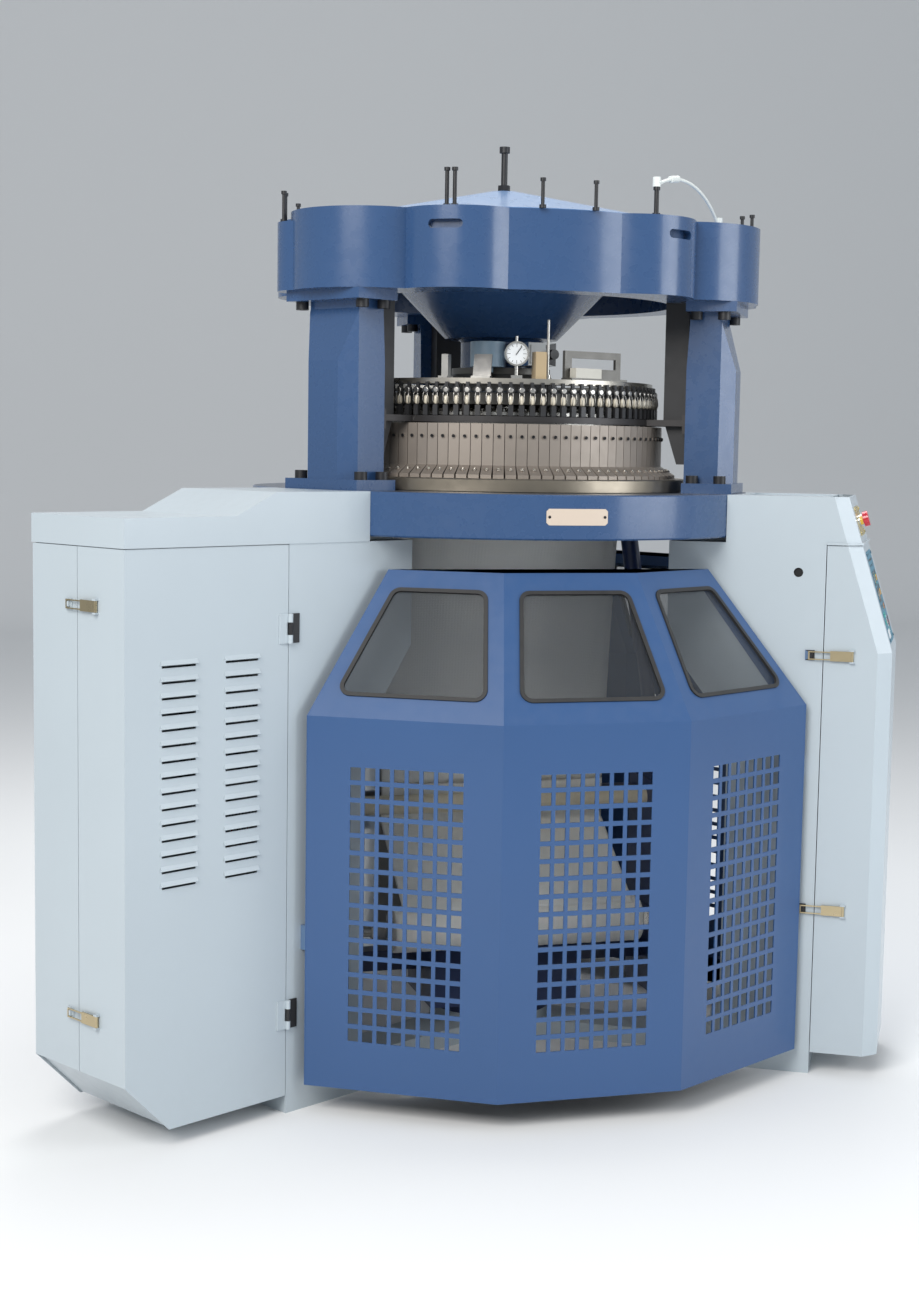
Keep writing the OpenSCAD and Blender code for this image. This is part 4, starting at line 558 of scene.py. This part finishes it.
# ---------------------------------------------------------------- control panel face
# Membrane keypad on the slanted face: a printed teal film with raised keys, and a screw at each
# corner. Borders, key colours and symbols are thin shapes in millimetres, drawn on that face.
PANEL_Z, KNEE_Z, KNEE_R = 1.246, 1.110, 1.075
CABINET_TURN, SLANT = math.radians(330), math.radians(17.1639)
PANEL_W, PANEL_H = 213, 246
KEY_RISE, PRINT, KEY_FILM, SYMBOL = 0.8, 0.06, 0.1, 0.04
KEY_FACE = KEY_RISE + KEY_FILM
CORNER_IN, CORNER_SCREW_R, CORNER_SCREW_TOP = 9, 3.8, 2.0
MM = 0.001
FACE_AXES = Matrix(((0, 0, 1, 0), (1, 0, 0, 0), (0, 1, 0, 0), (0, 0, 0, 1)))


def slant_matrix(z):
    """Axes of the control cabinet's slanted face: x along it, y up it, z out of it."""
    turn = Matrix.Rotation(CABINET_TURN, 4, "Z")
    place = Matrix.Translation((KNEE_R - (z - KNEE_Z) * math.tan(SLANT), 0, z))
    lean_back = Matrix.Rotation(-SLANT, 4, "Y")
    return turn @ place @ lean_back @ FACE_AXES


def flat_material(name, colour, rough=0.45, glow=0.0):
    """Printed film or ink, with a faint grain."""
    mat = finish_material(name, colour, rough, mottle=0.06, grain=900, depth=0.04, dust=0.02)
    shader = mat.node_tree.nodes["Principled BSDF"]
    shader.inputs["Emission Color"].default_value = (*colour, 1)
    shader.inputs["Emission Strength"].default_value = glow
    return mat


class Film:
    """Collects thin printed shapes on one face and makes them into one piece."""

    def __init__(self, name, matrix, materials):
        self.name, self.matrix, self.materials = name, matrix, materials
        self.mesh = bmesh.new()

    def shape(self, points, base, thick, ink):
        """Closed outline in mm, lifted to base and thick high."""
        low = [self.mesh.verts.new((x * MM, y * MM, base * MM)) for x, y in points]
        high = [self.mesh.verts.new((x * MM, y * MM, (base + thick) * MM)) for x, y in points]
        n = len(points)
        faces = [self.mesh.faces.new(high), self.mesh.faces.new(low[::-1])]
        faces += [self.mesh.faces.new((low[i], low[(i + 1) % n], high[(i + 1) % n], high[i]))
                  for i in range(n)]
        for face in faces:
            face.material_index = ink

    def rect(self, x, y, w, h, base, thick, ink):
        """Rectangle w by h about x, y."""
        self.shape([(x - w / 2, y - h / 2), (x + w / 2, y - h / 2), (x + w / 2, y + h / 2),
                    (x - w / 2, y + h / 2)], base, thick, ink)

    def frame(self, x, y, w, h, line, base, thick, ink):
        """Border of the given line width, w by h about x, y."""
        for dx, dy, bw, bh in ((0, h / 2, w + line, line), (0, -h / 2, w + line, line),
                               (-w / 2, 0, line, h - line), (w / 2, 0, line, h - line)):
            self.rect(x + dx, y + dy, bw, bh, base, thick, ink)

    def disc(self, x, y, r, base, thick, ink, sides=40):
        """Round of radius r about x, y."""
        self.shape([(x + r * math.cos(i * math.tau / sides), y + r * math.sin(i * math.tau / sides))
                    for i in range(sides)], base, thick, ink)

    def digit(self, x, y, size, base, ink):
        """Seven strokes of a display digit, all shown."""
        w, h, t = size * 0.5, size, size * 0.09
        for dx, dy, bw, bh in ((0, h / 2, w, t), (0, 0, w, t), (0, -h / 2, w, t),
                               (-w / 2, h / 4, t, h / 2 - t), (w / 2, h / 4, t, h / 2 - t),
                               (-w / 2, -h / 4, t, h / 2 - t), (w / 2, -h / 4, t, h / 2 - t)):
            self.shape([(x + dx + (sx * bw / 2) + 0.12 * (dy + sy * bh / 2),
                         y + dy + sy * bh / 2)
                        for sx, sy in ((-1, -1), (1, -1), (1, 1), (-1, 1))], base, 0.05, ink)

    def make(self, body):
        """Turns the shapes into one piece in its place on the machine."""
        data = bpy.data.meshes.new(self.name)
        self.mesh.transform(self.matrix)
        bmesh.ops.recalc_face_normals(self.mesh, faces=self.mesh.faces)
        self.mesh.to_mesh(data)
        self.mesh.free()
        for mat in self.materials:
            data.materials.append(mat)
        obj = link(self.name, data)
        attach(obj, body)
        return obj


ink_black = flat_material("ink black", (0.012, 0.014, 0.016), 0.35)
key_turquoise = flat_material("key turquoise", (0.05, 0.52, 0.42))
key_amber = flat_material("key amber", (0.86, 0.45, 0.03))
key_red = flat_material("key red", (0.55, 0.02, 0.04))
key_green = flat_material("key green", (0.01, 0.11, 0.06))
blank_white = flat_material("blank white", (0.72, 0.74, 0.75))
digit_pale = flat_material("display digits", (0.45, 0.42, 0.36), glow=0.15)
BLACK, TURQUOISE, AMBER, RED, GREEN, WHITE, DIGIT = range(7)

panel = Film("panel_print", slant_matrix(PANEL_Z), [
    ink_black, key_turquoise, key_amber, key_red, key_green, blank_white, digit_pale])
# Border, and the row of legends along the top.
panel.frame(0, 0, 186, 226, 0.9, 0, PRINT, BLACK)
for k in range(9):
    panel.rect(-66 + 17.6 * k, 98, 13, 5.5, 0, PRINT, BLACK)
    panel.frame(-66 + 17.6 * k, 83, 6 + k % 3, 7, 0.7, 0, PRINT, BLACK)
    panel.rect(-66 + 17.6 * k, 83, 3, 3 - k % 2, 0, PRINT, BLACK)
# Two displays of lit digits.
for x, y, w, h, count, size in ((-46, 49, 50, 38, 3, 19), (-34, 5, 86, 38, 5, 18)):
    panel.rect(x, y, w - 0.6, h - 0.6, KEY_RISE, KEY_FILM, BLACK)
    for k in range(count):
        panel.digit(x + (k - (count - 1) / 2) * 14.5, y - 1, size, KEY_FACE, DIGIT)
    panel.rect(x, y + h / 2 - 4, 20, 1.6, KEY_FACE, 0.05, DIGIT)
# Legends, the turquoise keys with a red last one, and the up and down keys.
for k in range(7):
    panel.rect(-75 + 11.8 * k, -25, 9, 4.5, 0, PRINT, BLACK)
    panel.rect(-75 + 11.8 * k, -32, 7, 1.6, 0, PRINT, BLACK)
for x in (-68, -49, -30, -10):
    for y in (-49, -69):
        last = x == -10 and y == -69
        panel.rect(x, y, 12.6, 12.6, KEY_RISE, KEY_FILM, RED if last else TURQUOISE)
        if not last:
            panel.rect(x, y + 1, 5, 3, KEY_FACE, SYMBOL, BLACK)
for y, up in ((56, 1), (38, -1)):
    panel.rect(-6, y, 14.5, 17, 0, PRINT, BLACK)
    panel.rect(-6, y, 12.6, 12.6, KEY_RISE, KEY_FILM, TURQUOISE)
    panel.shape([(-8.5, y - 1.5 * up), (-3.5, y - 1.5 * up), (-6, y + 2.5 * up)][::up],
                KEY_FACE, SYMBOL, BLACK)
# Six amber keys, three round keys, and two tall ones in green and red.
for x in (24, 46, 68):
    for y in (47, 8):
        panel.rect(x, y + 6, 17.5, 31, 0, PRINT, BLACK)
        panel.rect(x, y, 14.6, 15.6, KEY_RISE, KEY_FILM, AMBER)
        panel.frame(x, y, 6.5, 5.5, 0.8, KEY_FACE, SYMBOL, BLACK)
for x, ink in ((24, AMBER), (45, RED), (67, GREEN)):
    panel.rect(x, -17, 9, 5, 0, PRINT, BLACK)
    panel.disc(x, -30, 9.6, 0, PRINT, BLACK)
    panel.disc(x, -30, 8.4, KEY_RISE, KEY_FILM, ink)
    panel.rect(x, -30, 7, 2.5, KEY_FACE, SYMBOL, BLACK)
for x, ink in ((46, GREEN), (67, RED)):
    panel.frame(x, -73, 18, 36, 0.9, 0, PRINT, BLACK)
    panel.rect(x, -73, 14.6, 27.6, KEY_RISE, KEY_FILM, ink)
    panel.rect(x, -66, 9, 9, KEY_FACE, 0.05, BLACK)
# Blank white fields and the corner screws.
panel.rect(22.5, -77, 21, 43, 0, 0.08, WHITE)
for k in range(3):
    panel.rect(17.5, -62 - 8.5 * k, 7, 4, 0.08, 0.05, BLACK)
    panel.rect(27, -62 - 8.5 * k, 7, 1.6, 0.08, 0.05, BLACK)
panel.rect(22.5, -91, 12, 11, 0.08, 0.4, TURQUOISE)
panel.rect(-40, -100, 76, 23, 0, 0.5, WHITE)
for sx in (-1, 1):
    for sy in (-1, 1):
        panel.disc(sx * (PANEL_W / 2 - CORNER_IN), sy * (PANEL_H / 2 - CORNER_IN),
                   CORNER_SCREW_R, CORNER_SCREW_TOP, 0.2, BLACK)
panel.make("control_door")

# ---------------------------------------------------------------- button plate face
# Brass plate with three push buttons in chromed bezels, screwed on at its corners. Its border
# is printed, and short bare marks stand where words would be.
BUTTON_PLATE_Z = 1.441
PLATE_W, PLATE_H, PLATE_TOP = 183, 78, 1.0
PLATE_SCREW_IN, PLATE_SCREW_R, PLATE_SCREW_TOP = 8, 4.3, 2.98
BEZEL_FROM, BEZEL_HALF = 0.0012, 0.016
plate_brass = finish_material("button plate brass", (0.66, 0.55, 0.27), 0.35, metal=0.7,
                              mottle=0.2, dust=0.05)
bezel_chrome = finish_material("bezel chrome", (0.66, 0.65, 0.60), 0.22, metal=1.0, dust=0.02)
plate_axes = slant_matrix(BUTTON_PLATE_Z)
plate_back = plate_axes.inverted()
dress_by("button_plate", [plate_brass, bezel_chrome], lambda centre, normal: int(
    (plate_back @ centre).z > BEZEL_FROM and abs((plate_back @ centre).y) < BEZEL_HALF))
plate = Film("button_plate_print", plate_axes, [ink_black])
plate.frame(0, 0, PLATE_W - 9, PLATE_H - 9, 0.9, PLATE_TOP, PRINT, 0)
for sx in (-1, 1):
    for sy in (-1, 1):
        plate.disc(sx * (PLATE_W / 2 - PLATE_SCREW_IN), sy * (PLATE_H / 2 - PLATE_SCREW_IN),
                   PLATE_SCREW_R, PLATE_SCREW_TOP, 0.1, 0)
for x in (-62, 0, 62):
    plate.rect(x, -24, 15, 2, PLATE_TOP, PRINT, 0)
    plate.rect(x, -29, 19, 2, PLATE_TOP, PRINT, 0)
    plate.rect(x + 2, 24, 12, 4, PLATE_TOP, PRINT, 0)
plate.make("frame")

# ---------------------------------------------------------------- dial gauge face
# Gauge on the carrier ring: bright steel case, black hand, and a white enamelled face with
# twelve printed ticks, longer at the quarters. The face is a thin disc behind the hand.
GAUGE_A = math.radians(259)
GAUGE_R, GAUGE_Z = 0.401, 1.85202
HAND_LOW, HAND_HIGH, HAND_REACH = 0.0002, 0.0018, 0.0255
DIAL_R, DIAL_THICK = 26.6, 0.1
TICK_FROM, TICK_HALF, TICK_SHORT, TICK_LONG = 25, 0.6, 6, 9
gauge_axes = (Matrix.Rotation(GAUGE_A, 4, "Z") @ Matrix.Translation((GAUGE_R, 0, GAUGE_Z))
              @ FACE_AXES)
gauge_back = gauge_axes.inverted()


def pick_gauge(centre, normal):
    """1 for the hand, which stands within the dial's rim just off its floor."""
    local = gauge_back @ centre
    return int(HAND_LOW < local.z < HAND_HIGH and local.xy.length < HAND_REACH)


dress_by("dial_gauge", [bright_steel, ink_black], pick_gauge)
dial = Film("gauge_print", gauge_axes, [blank_white, ink_black])
dial.disc(0, 0, DIAL_R, 0, DIAL_THICK, 0)
for k in range(12):
    cos, sin = math.cos(k * math.tau / 12), math.sin(k * math.tau / 12)
    inner = TICK_FROM - (TICK_SHORT if k % 3 else TICK_LONG)
    dial.shape([(r * cos - side * sin, r * sin + side * cos)
                for r, side in ((TICK_FROM, -TICK_HALF), (TICK_FROM, TICK_HALF),
                                (inner, TICK_HALF), (inner, -TICK_HALF))],
               DIAL_THICK, 0.05, 1)
dial.make("frame")

# ---------------------------------------------------------------- small parts on the head
# Each of the 96 cam boxes is held by a blackened clamp screw in its face and a bright one in its
# sloping foot, both with an open socket. One pair is turned, then repeated round the axis.
FEEDS = 96
BOX_R = 0.440
BOX_Z, BOX_TOP = 1.561, 1.676
STEP = math.tau / FEEDS


def ring_array(name, obj, count, body):
    """Copies of obj round the machine's axis, made by nodes and turned into a plain mesh."""
    tree = bpy.data.node_groups.new(name + "_array", "GeometryNodeTree")
    face = tree.interface
    face.new_socket("Geometry", in_out="INPUT", socket_type="NodeSocketGeometry")
    face.new_socket("Geometry", in_out="OUTPUT", socket_type="NodeSocketGeometry")
    sizes = [("Count", "NodeSocketInt", count), ("Step angle", "NodeSocketFloat", math.tau / count)]
    inks = [(f"Material {k}", "NodeSocketMaterial", mat)
            for k, mat in enumerate(obj.data.materials)]
    given = [(face.new_socket(label, in_out="INPUT", socket_type=kind).identifier, value)
             for label, kind, value in sizes + inks]
    new, join = tree.nodes.new, tree.links.new
    source, result = new("NodeGroupInput"), new("NodeGroupOutput")
    points = new("GeometryNodePoints")
    index = new("GeometryNodeInputIndex")
    turn = new("ShaderNodeMath")
    turn.operation = "MULTIPLY"
    vector = new("ShaderNodeCombineXYZ")
    place = new("GeometryNodeInstanceOnPoints")
    real = new("GeometryNodeRealizeInstances")
    join(source.outputs["Count"], points.inputs["Count"])
    join(index.outputs[0], turn.inputs[0])
    join(source.outputs["Step angle"], turn.inputs[1])
    join(turn.outputs[0], vector.inputs["Z"])
    join(points.outputs[0], place.inputs["Points"])
    join(source.outputs["Geometry"], place.inputs["Instance"])
    join(vector.outputs[0], place.inputs["Rotation"])
    join(place.outputs[0], real.inputs[0])
    last = real.outputs[0]
    for k in range(len(inks)):
        worn = new("GeometryNodeInputMaterialIndex")
        same = new("FunctionNodeCompare")
        same.data_type, same.operation = "INT", "EQUAL"
        same.inputs[3].default_value = k
        paint = new("GeometryNodeSetMaterial")
        join(worn.outputs[0], same.inputs[2])
        join(last, paint.inputs["Geometry"])
        join(same.outputs[0], paint.inputs["Selection"])
        join(source.outputs[f"Material {k}"], paint.inputs["Material"])
        last = paint.outputs[0]
    join(last, result.inputs[0])
    array = obj.modifiers.new("array", "NODES")
    array.node_group = tree
    for identifier, value in given:
        array[identifier] = value
    depsgraph = bpy.context.evaluated_depsgraph_get()
    data = bpy.data.meshes.new_from_object(obj.evaluated_get(depsgraph))
    data.name = name
    bpy.data.objects.remove(obj)
    whole = link(name, data)
    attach(whole, body)


def part_mesh(name, build, materials):
    """New object whose mesh is drawn by build(mesh)."""
    mesh = bmesh.new()
    build(mesh)
    bmesh.ops.recalc_face_normals(mesh, faces=mesh.faces)
    data = bpy.data.meshes.new(name)
    mesh.to_mesh(data)
    mesh.free()
    for mat in materials:
        data.materials.append(mat)
    return link(name, data)


def tube_along(mesh, points, radius, ink, sides):
    """Round wire through points, closed at both ends."""
    rings = []
    points = [Vector(p) for p in points]
    for k, p in enumerate(points):
        ahead = (points[min(k + 1, len(points) - 1)] - points[max(k - 1, 0)]).normalized()
        side = ahead.cross(Vector((0.13, 0.97, 0.21))).normalized()
        other = ahead.cross(side)
        rings.append([mesh.verts.new(p + radius * (side * math.cos(a) + other * math.sin(a)))
                      for a in (i * math.tau / sides for i in range(sides))])
    for a, b in zip(rings, rings[1:]):
        for i in range(sides):
            face = mesh.faces.new((a[i], a[(i + 1) % sides], b[(i + 1) % sides], b[i]))
            face.material_index, face.smooth = ink, True
    for ring in (rings[0], rings[-1][::-1]):
        mesh.faces.new(ring).material_index = ink


def lathe(mesh, matrix, profile, ink, sides=20):
    """Turned part: profile is (radius, height) along the matrix's z axis."""
    rings = [[mesh.verts.new(matrix @ Vector((r * math.cos(a), r * math.sin(a), h)))
              for a in (i * math.tau / sides for i in range(sides))] for r, h in profile]
    for a, b in zip(rings, rings[1:]):
        for i in range(sides):
            face = mesh.faces.new((a[i], a[(i + 1) % sides], b[(i + 1) % sides], b[i]))
            face.material_index, face.smooth = ink, True
    for ring in (rings[0], rings[-1][::-1]):
        mesh.faces.new(ring).material_index = ink


screw_black = finish_material("screw black oxide", (0.02, 0.02, 0.022), 0.35, metal=0.6)
screw_bright = finish_material("screw bright", (0.50, 0.47, 0.42), 0.28, metal=1.0)
FACE_OUT = Matrix.Rotation(math.pi / 2, 4, "Y")
SCREW_R, SCREW_Z = BOX_R + 0.0015, BOX_Z + 0.72 * (BOX_TOP - BOX_Z)
FOOT_R, FOOT_Z, FOOT_TILT = BOX_R + 0.019, 1.5595, math.radians(31.18)
CLAMP_SCREW = [(0.0042, 0), (0.0042, 0.0026), (0.0038, 0.0032), (0.0024, 0.0032),
               (0.0022, 0.0012)]
FOOT_SCREW = [(0.0055, 0.0019), (0.0055, 0.0030), (0.0049, 0.0036), (0.0030, 0.0036),
              (0.0028, 0.0014)]


def draw_box_screw(mesh):
    """Blackened clamp screw and bright foot screw of one cam box, each with an open socket."""
    turn = Matrix.Rotation(STEP / 2, 4, "Z")
    tilt = Matrix.Rotation(FOOT_TILT, 4, "Y")
    lathe(mesh, turn @ Matrix.Translation((SCREW_R, 0, SCREW_Z)) @ FACE_OUT, CLAMP_SCREW, 1)
    lathe(mesh, turn @ Matrix.Translation((FOOT_R, 0, FOOT_Z)) @ tilt, FOOT_SCREW, 0)


screws = part_mesh("box_screw_seed", draw_box_screw, [screw_bright, screw_black])
ring_array("cam_box_screws", screws, FEEDS, "frame")

# ---------------------------------------------------------------- yarn guides
# On each of the 96 black holders sit a bright eyelet below the upper ring and a pale ceramic tip
# over the lower one, with a bent steel wire on either side and a straight one between them.
FEED_R = 0.412
LOW_RING, UP_RING = 1.695, 1.776
WIRE_R, STEM_R, WIRE_SIDES = 0.0008, 0.0012, 6
EYELET = [(0.0050, 0.0030), (0.0064, 0.0026), (0.0070, 0.0010), (0.0064, -0.0008),
          (0.0050, -0.0008)]
GUIDE_TIP = [(0.0030, 0.027), (0.0060, 0.030), (0.0065, 0.034), (0.0062, 0.046), (0.0034, 0.050)]
ceramic = finish_material("guide ceramic", (0.60, 0.54, 0.43), 0.25, coat=0.5, dust=0.0)
wire_steel = finish_material("guide wire", (0.50, 0.48, 0.45), 0.3, metal=1.0)


def draw_guide(mesh):
    """Eyelet, tip and wires of one holder."""
    turn = Matrix.Rotation(STEP / 2, 4, "Z")
    eye = turn @ Matrix.Translation((FEED_R + 0.0115, 0, UP_RING - 0.016)) @ FACE_OUT
    lathe(mesh, eye, EYELET, 1)
    tip = turn @ Matrix.Translation((FEED_R + 0.0085, 0.0, LOW_RING + 0.001))
    lathe(mesh, tip, GUIDE_TIP, 0)
    for side in (-1, 1):
        hoop = [(FEED_R + 0.013, side * 0.0045, LOW_RING + 0.028),
                (FEED_R + 0.017, side * 0.0062, LOW_RING + 0.040),
                (FEED_R + 0.015, side * 0.0058, LOW_RING + 0.056),
                (FEED_R + 0.012, side * 0.0030, UP_RING - 0.020)]
        tube_along(mesh, [turn @ Vector(p) for p in hoop], WIRE_R, 1, WIRE_SIDES)
    stem = [(FEED_R + 0.010, 0, UP_RING - 0.026), (FEED_R + 0.010, 0, LOW_RING + 0.040)]
    tube_along(mesh, [turn @ Vector(p) for p in stem], STEM_R, 1, WIRE_SIDES)


guides = part_mesh("guide_seed", draw_guide, [ceramic, wire_steel])
ring_array("yarn_guide_eyes", guides, FEEDS, "frame")

# ---------------------------------------------------------------- bare plate on the bed's rim
# Blank plate of thin sheet, bent to the bed's rim and held by a blackened rivet at each end. Its
# cream colour is painted reflection of the bright sky; the plate itself is dark with a bright
# border. Its two ends are a little shorter than the rest.
RIM_R, FRONT_TURN = 0.670, math.radians(270)
PLATE_HALF_TURN, PLATE_STEPS = math.radians(6.7), 24
PLATE_LOW, PLATE_HIGH, END_SHORTER = 1.432, 1.472, 0.006
PLATE_BACK, PLATE_THICK = 0.0002, 0.0012
RIVET, RIVET_PLACE = [(0.0036, 0), (0.0034, 0.0012), (0.0016, 0.0020)], 0.9
# Cream here is a painted reflection of the sky, not the plate's own colour.
plate_painted_reflection = finish_material("plate painted reflection", (0.60, 0.50, 0.41), 0.35, coat=0.4, dust=0.05)


def rim_point(turn, z, lift):
    """Point at a turn from the front, lifted off the rim."""
    angle = FRONT_TURN + turn
    return ((RIM_R + lift) * math.cos(angle), (RIM_R + lift) * math.sin(angle), z)


def draw_rim_plate(mesh):
    """Bent plate as a row of four-point sections, with its two rivets."""
    columns = []
    for k in range(PLATE_STEPS + 1):
        turn = PLATE_HALF_TURN * (2 * k / PLATE_STEPS - 1)
        short = END_SHORTER if k in (0, PLATE_STEPS) else 0.0
        columns.append([mesh.verts.new(rim_point(turn, z, lift)) for z, lift in (
            (PLATE_LOW + short, PLATE_BACK), (PLATE_LOW + short, PLATE_THICK),
            (PLATE_HIGH - short, PLATE_THICK), (PLATE_HIGH - short, PLATE_BACK))])
    for a, b in zip(columns, columns[1:]):
        for i in range(4):
            mesh.faces.new((a[i], b[i], b[(i + 1) % 4], a[(i + 1) % 4]))
    mesh.faces.new(columns[0])
    mesh.faces.new(columns[-1][::-1])
    for turn in (-RIVET_PLACE * PLATE_HALF_TURN, RIVET_PLACE * PLATE_HALF_TURN):
        place = Vector(rim_point(turn, (PLATE_LOW + PLATE_HIGH) / 2, PLATE_THICK))
        aim = Matrix.Rotation(FRONT_TURN + turn, 4, "Z") @ FACE_OUT
        lathe(mesh, Matrix.Translation(place) @ aim, RIVET, 1)


rim_plate = part_mesh("rim_plate", draw_rim_plate, [plate_painted_reflection, screw_black])
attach(rim_plate, "frame")

# ---------------------------------------------------------------- switchgear behind the left door
# Drives and contactors in charcoal plastic, pale breakers and terminals, slotted grey ducts and
# insulated wires, on a zinc-plated sheet. The cases are the CAD node's; what sits on them is
# made here, in millimetres along, up and out from the sheet's face.
PLATE_FACE, FACE_FILM = 0.909, 0.0002
DRIVE_TOP, CONTACTOR_LOW, CONTACTOR_HIGH, CONTACTOR_SIDE = 0.52, 0.76, 0.98, 0.015
DUCT_FACE, TERMINAL_FACE, BREAKER_FACE = 42, 39.5, 49.5
CONTACTOR_FACE, RELAY_FACE, SUPPLY_FACE = 89.5, 59.5, 69.5
DUCT_ROWS, BREAKER_ROW, TERMINAL_ROW = (728, 988), 1090, 620
SLOT_PITCH, BREAKER_PITCH, VENT_PITCH = 12.5, 18, 11
CORE_R, CORE_SIDES = 0.0016, 6
gear_axes = (Matrix.Rotation(math.radians(210), 4, "Z")
             @ Matrix.Translation((PLATE_FACE, 0, 0)) @ FACE_AXES)
gear_back = gear_axes.inverted()
charcoal = finish_material("gear charcoal", (0.030, 0.032, 0.036), 0.5)
pale_case = finish_material("gear pale", (0.42, 0.42, 0.39), 0.5)
duct_grey = finish_material("duct grey", (0.20, 0.21, 0.21), 0.55)
wire_blue = finish_material("wire blue", (0.02, 0.06, 0.26), 0.45)
wire_red = finish_material("wire red", (0.35, 0.02, 0.02), 0.45)


def pick_gear(centre, normal):
    """0 for the zinc plate, 1 for the drives and contactors, 2 for the other cases."""
    local = gear_back @ centre
    if local.z < FACE_FILM:
        return 0
    contactor = CONTACTOR_LOW < local.y < CONTACTOR_HIGH and local.x < CONTACTOR_SIDE
    return 1 if local.y < DRIVE_TOP or contactor else 2


dress_by("electrical_plate", [
    finish_material("zinc plate", (0.58, 0.58, 0.56), 0.45, metal=0.8, mottle=0.3),
    charcoal, pale_case], pick_gear)
gear = Film("switchgear_fittings", gear_axes, [charcoal, pale_case, duct_grey, ink_black,
                                               key_amber, key_green, blank_white])
CHARCOAL, CASE, DUCT, SLOT, LAMP, EARTH, TAG = range(7)
for y in DUCT_ROWS:
    gear.rect(0, y, 256, 34, 0, DUCT_FACE, DUCT)
    for k in range(20):
        gear.rect(-119 + SLOT_PITCH * k, y, 3, 26, DUCT_FACE, 0.2, SLOT)
for k in range(18):
    x = -111 + SLOT_PITCH * k
    gear.rect(x, TERMINAL_ROW, 10.5, 62, TERMINAL_FACE, 14, EARTH if k % 9 == 8 else CASE)
    for y in (TERMINAL_ROW - 20, TERMINAL_ROW + 20):
        gear.disc(x, y, 3, TERMINAL_FACE + 14, 0.3, SLOT, 12)
for k in range(6):
    x = 9.5 + BREAKER_PITCH * k
    gear.rect(x, BREAKER_ROW, 16, 84, BREAKER_FACE, 7, CASE)
    gear.rect(x, BREAKER_ROW, 7, 16, BREAKER_FACE + 7, 9, CHARCOAL)
for x in (-90, -20):
    gear.rect(x, 870, 34, 46, CONTACTOR_FACE, 5, CASE)
    gear.rect(x, 935, 46, 12, CONTACTOR_FACE, 1, TAG)
    for dx in (-18, 0, 18):
        gear.disc(x + dx, 800, 4, CONTACTOR_FACE, 1.2, SLOT, 16)
gear.rect(65, 870, 56, 60, RELAY_FACE, 3, CHARCOAL)
gear.disc(65, 935, 5, RELAY_FACE, 4, LAMP, 20)
gear.rect(-70, BREAKER_ROW, 70, 60, SUPPLY_FACE, 2, CHARCOAL)
gear.rect(-70, 1140, 40, 10, SUPPLY_FACE, 1, TAG)
for x, drive_face in ((-70, 109.5), (60, 79.5)):
    gear.rect(x, 462, 54, 24, drive_face, 1.5, CASE)
    gear.rect(x, 462, 40, 13, drive_face + 1.5, 0.3, SLOT)
    for k in range(7):
        gear.rect(x, 356 + VENT_PITCH * k, 76, 4, drive_face, 0.4, DUCT)
gear.make("frame")


def draw_wires(mesh):
    """Wires from the ducts to the cases and terminals, bowing out a little; in metres."""
    def wire(points, ink):
        tube_along(mesh, [gear_axes @ Vector(p) for p in points], CORE_R, ink, CORE_SIDES)

    for k in range(9):
        x = -0.105 + 0.012 * k
        for low, high, deep in ((0.745, 0.790, 0.060), (0.955, 0.972, 0.064)):
            wire([(x, low, 0.040), (x + 0.002, (low + high) / 2, deep + 0.004 * (k % 3)),
                  (x, high, deep)], k % 3)
    for k in range(12):
        x = -0.105 + 0.018 * k
        wire([(x, 0.655, 0.046), (x, 0.675, 0.054), (x + 0.004, 0.700, 0.050),
              (x + 0.004, 0.716, 0.040)], k % 3)


wires = part_mesh("switchgear_wires", draw_wires, [ink_black, wire_blue, wire_red])
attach(wires, "frame")

# ---------------------------------------------------------------- cover over the top pinion
# Thin steel plate in the casting's blue that closes the hole over the top pinion. It is cut
# round the dome and held by three black screws. All sizes but TOP_FACE are millimetres.
TOP_FACE = 2.195
COVER_Y, COVER_R, DOME_EDGE = 576, 96, 534
COVER_LIFT, COVER_THICK = 0.02, 3
SCREW_RING_R, SCREW_HEAD_R, SCREW_HEAD_H = 90, 4, 2
rim = [(COVER_R * math.cos(a), COVER_Y + COVER_R * math.sin(a))
       for a in (math.radians(5 * k - 90) for k in range(72))]
rim = [point for point in rim if math.hypot(*point) > DOME_EDGE]
start, end = (math.atan2(point[1], point[0]) for point in (rim[0], rim[-1]))
rim += [(DOME_EDGE * math.cos(end + (start - end) * k / 8),
         DOME_EDGE * math.sin(end + (start - end) * k / 8)) for k in range(1, 8)]
cover = Film("pinion_cover", Matrix.Translation((0, 0, TOP_FACE)), [casting_paint, black_paint_and_shade])
cover.shape(rim, COVER_LIFT, COVER_THICK, 0)
for a in (math.radians(22), math.radians(90), math.radians(158)):
    cover.disc(SCREW_RING_R * math.cos(a), COVER_Y + SCREW_RING_R * math.sin(a),
               SCREW_HEAD_R, COVER_THICK, SCREW_HEAD_H, 1, 16)
cover.make("frame")
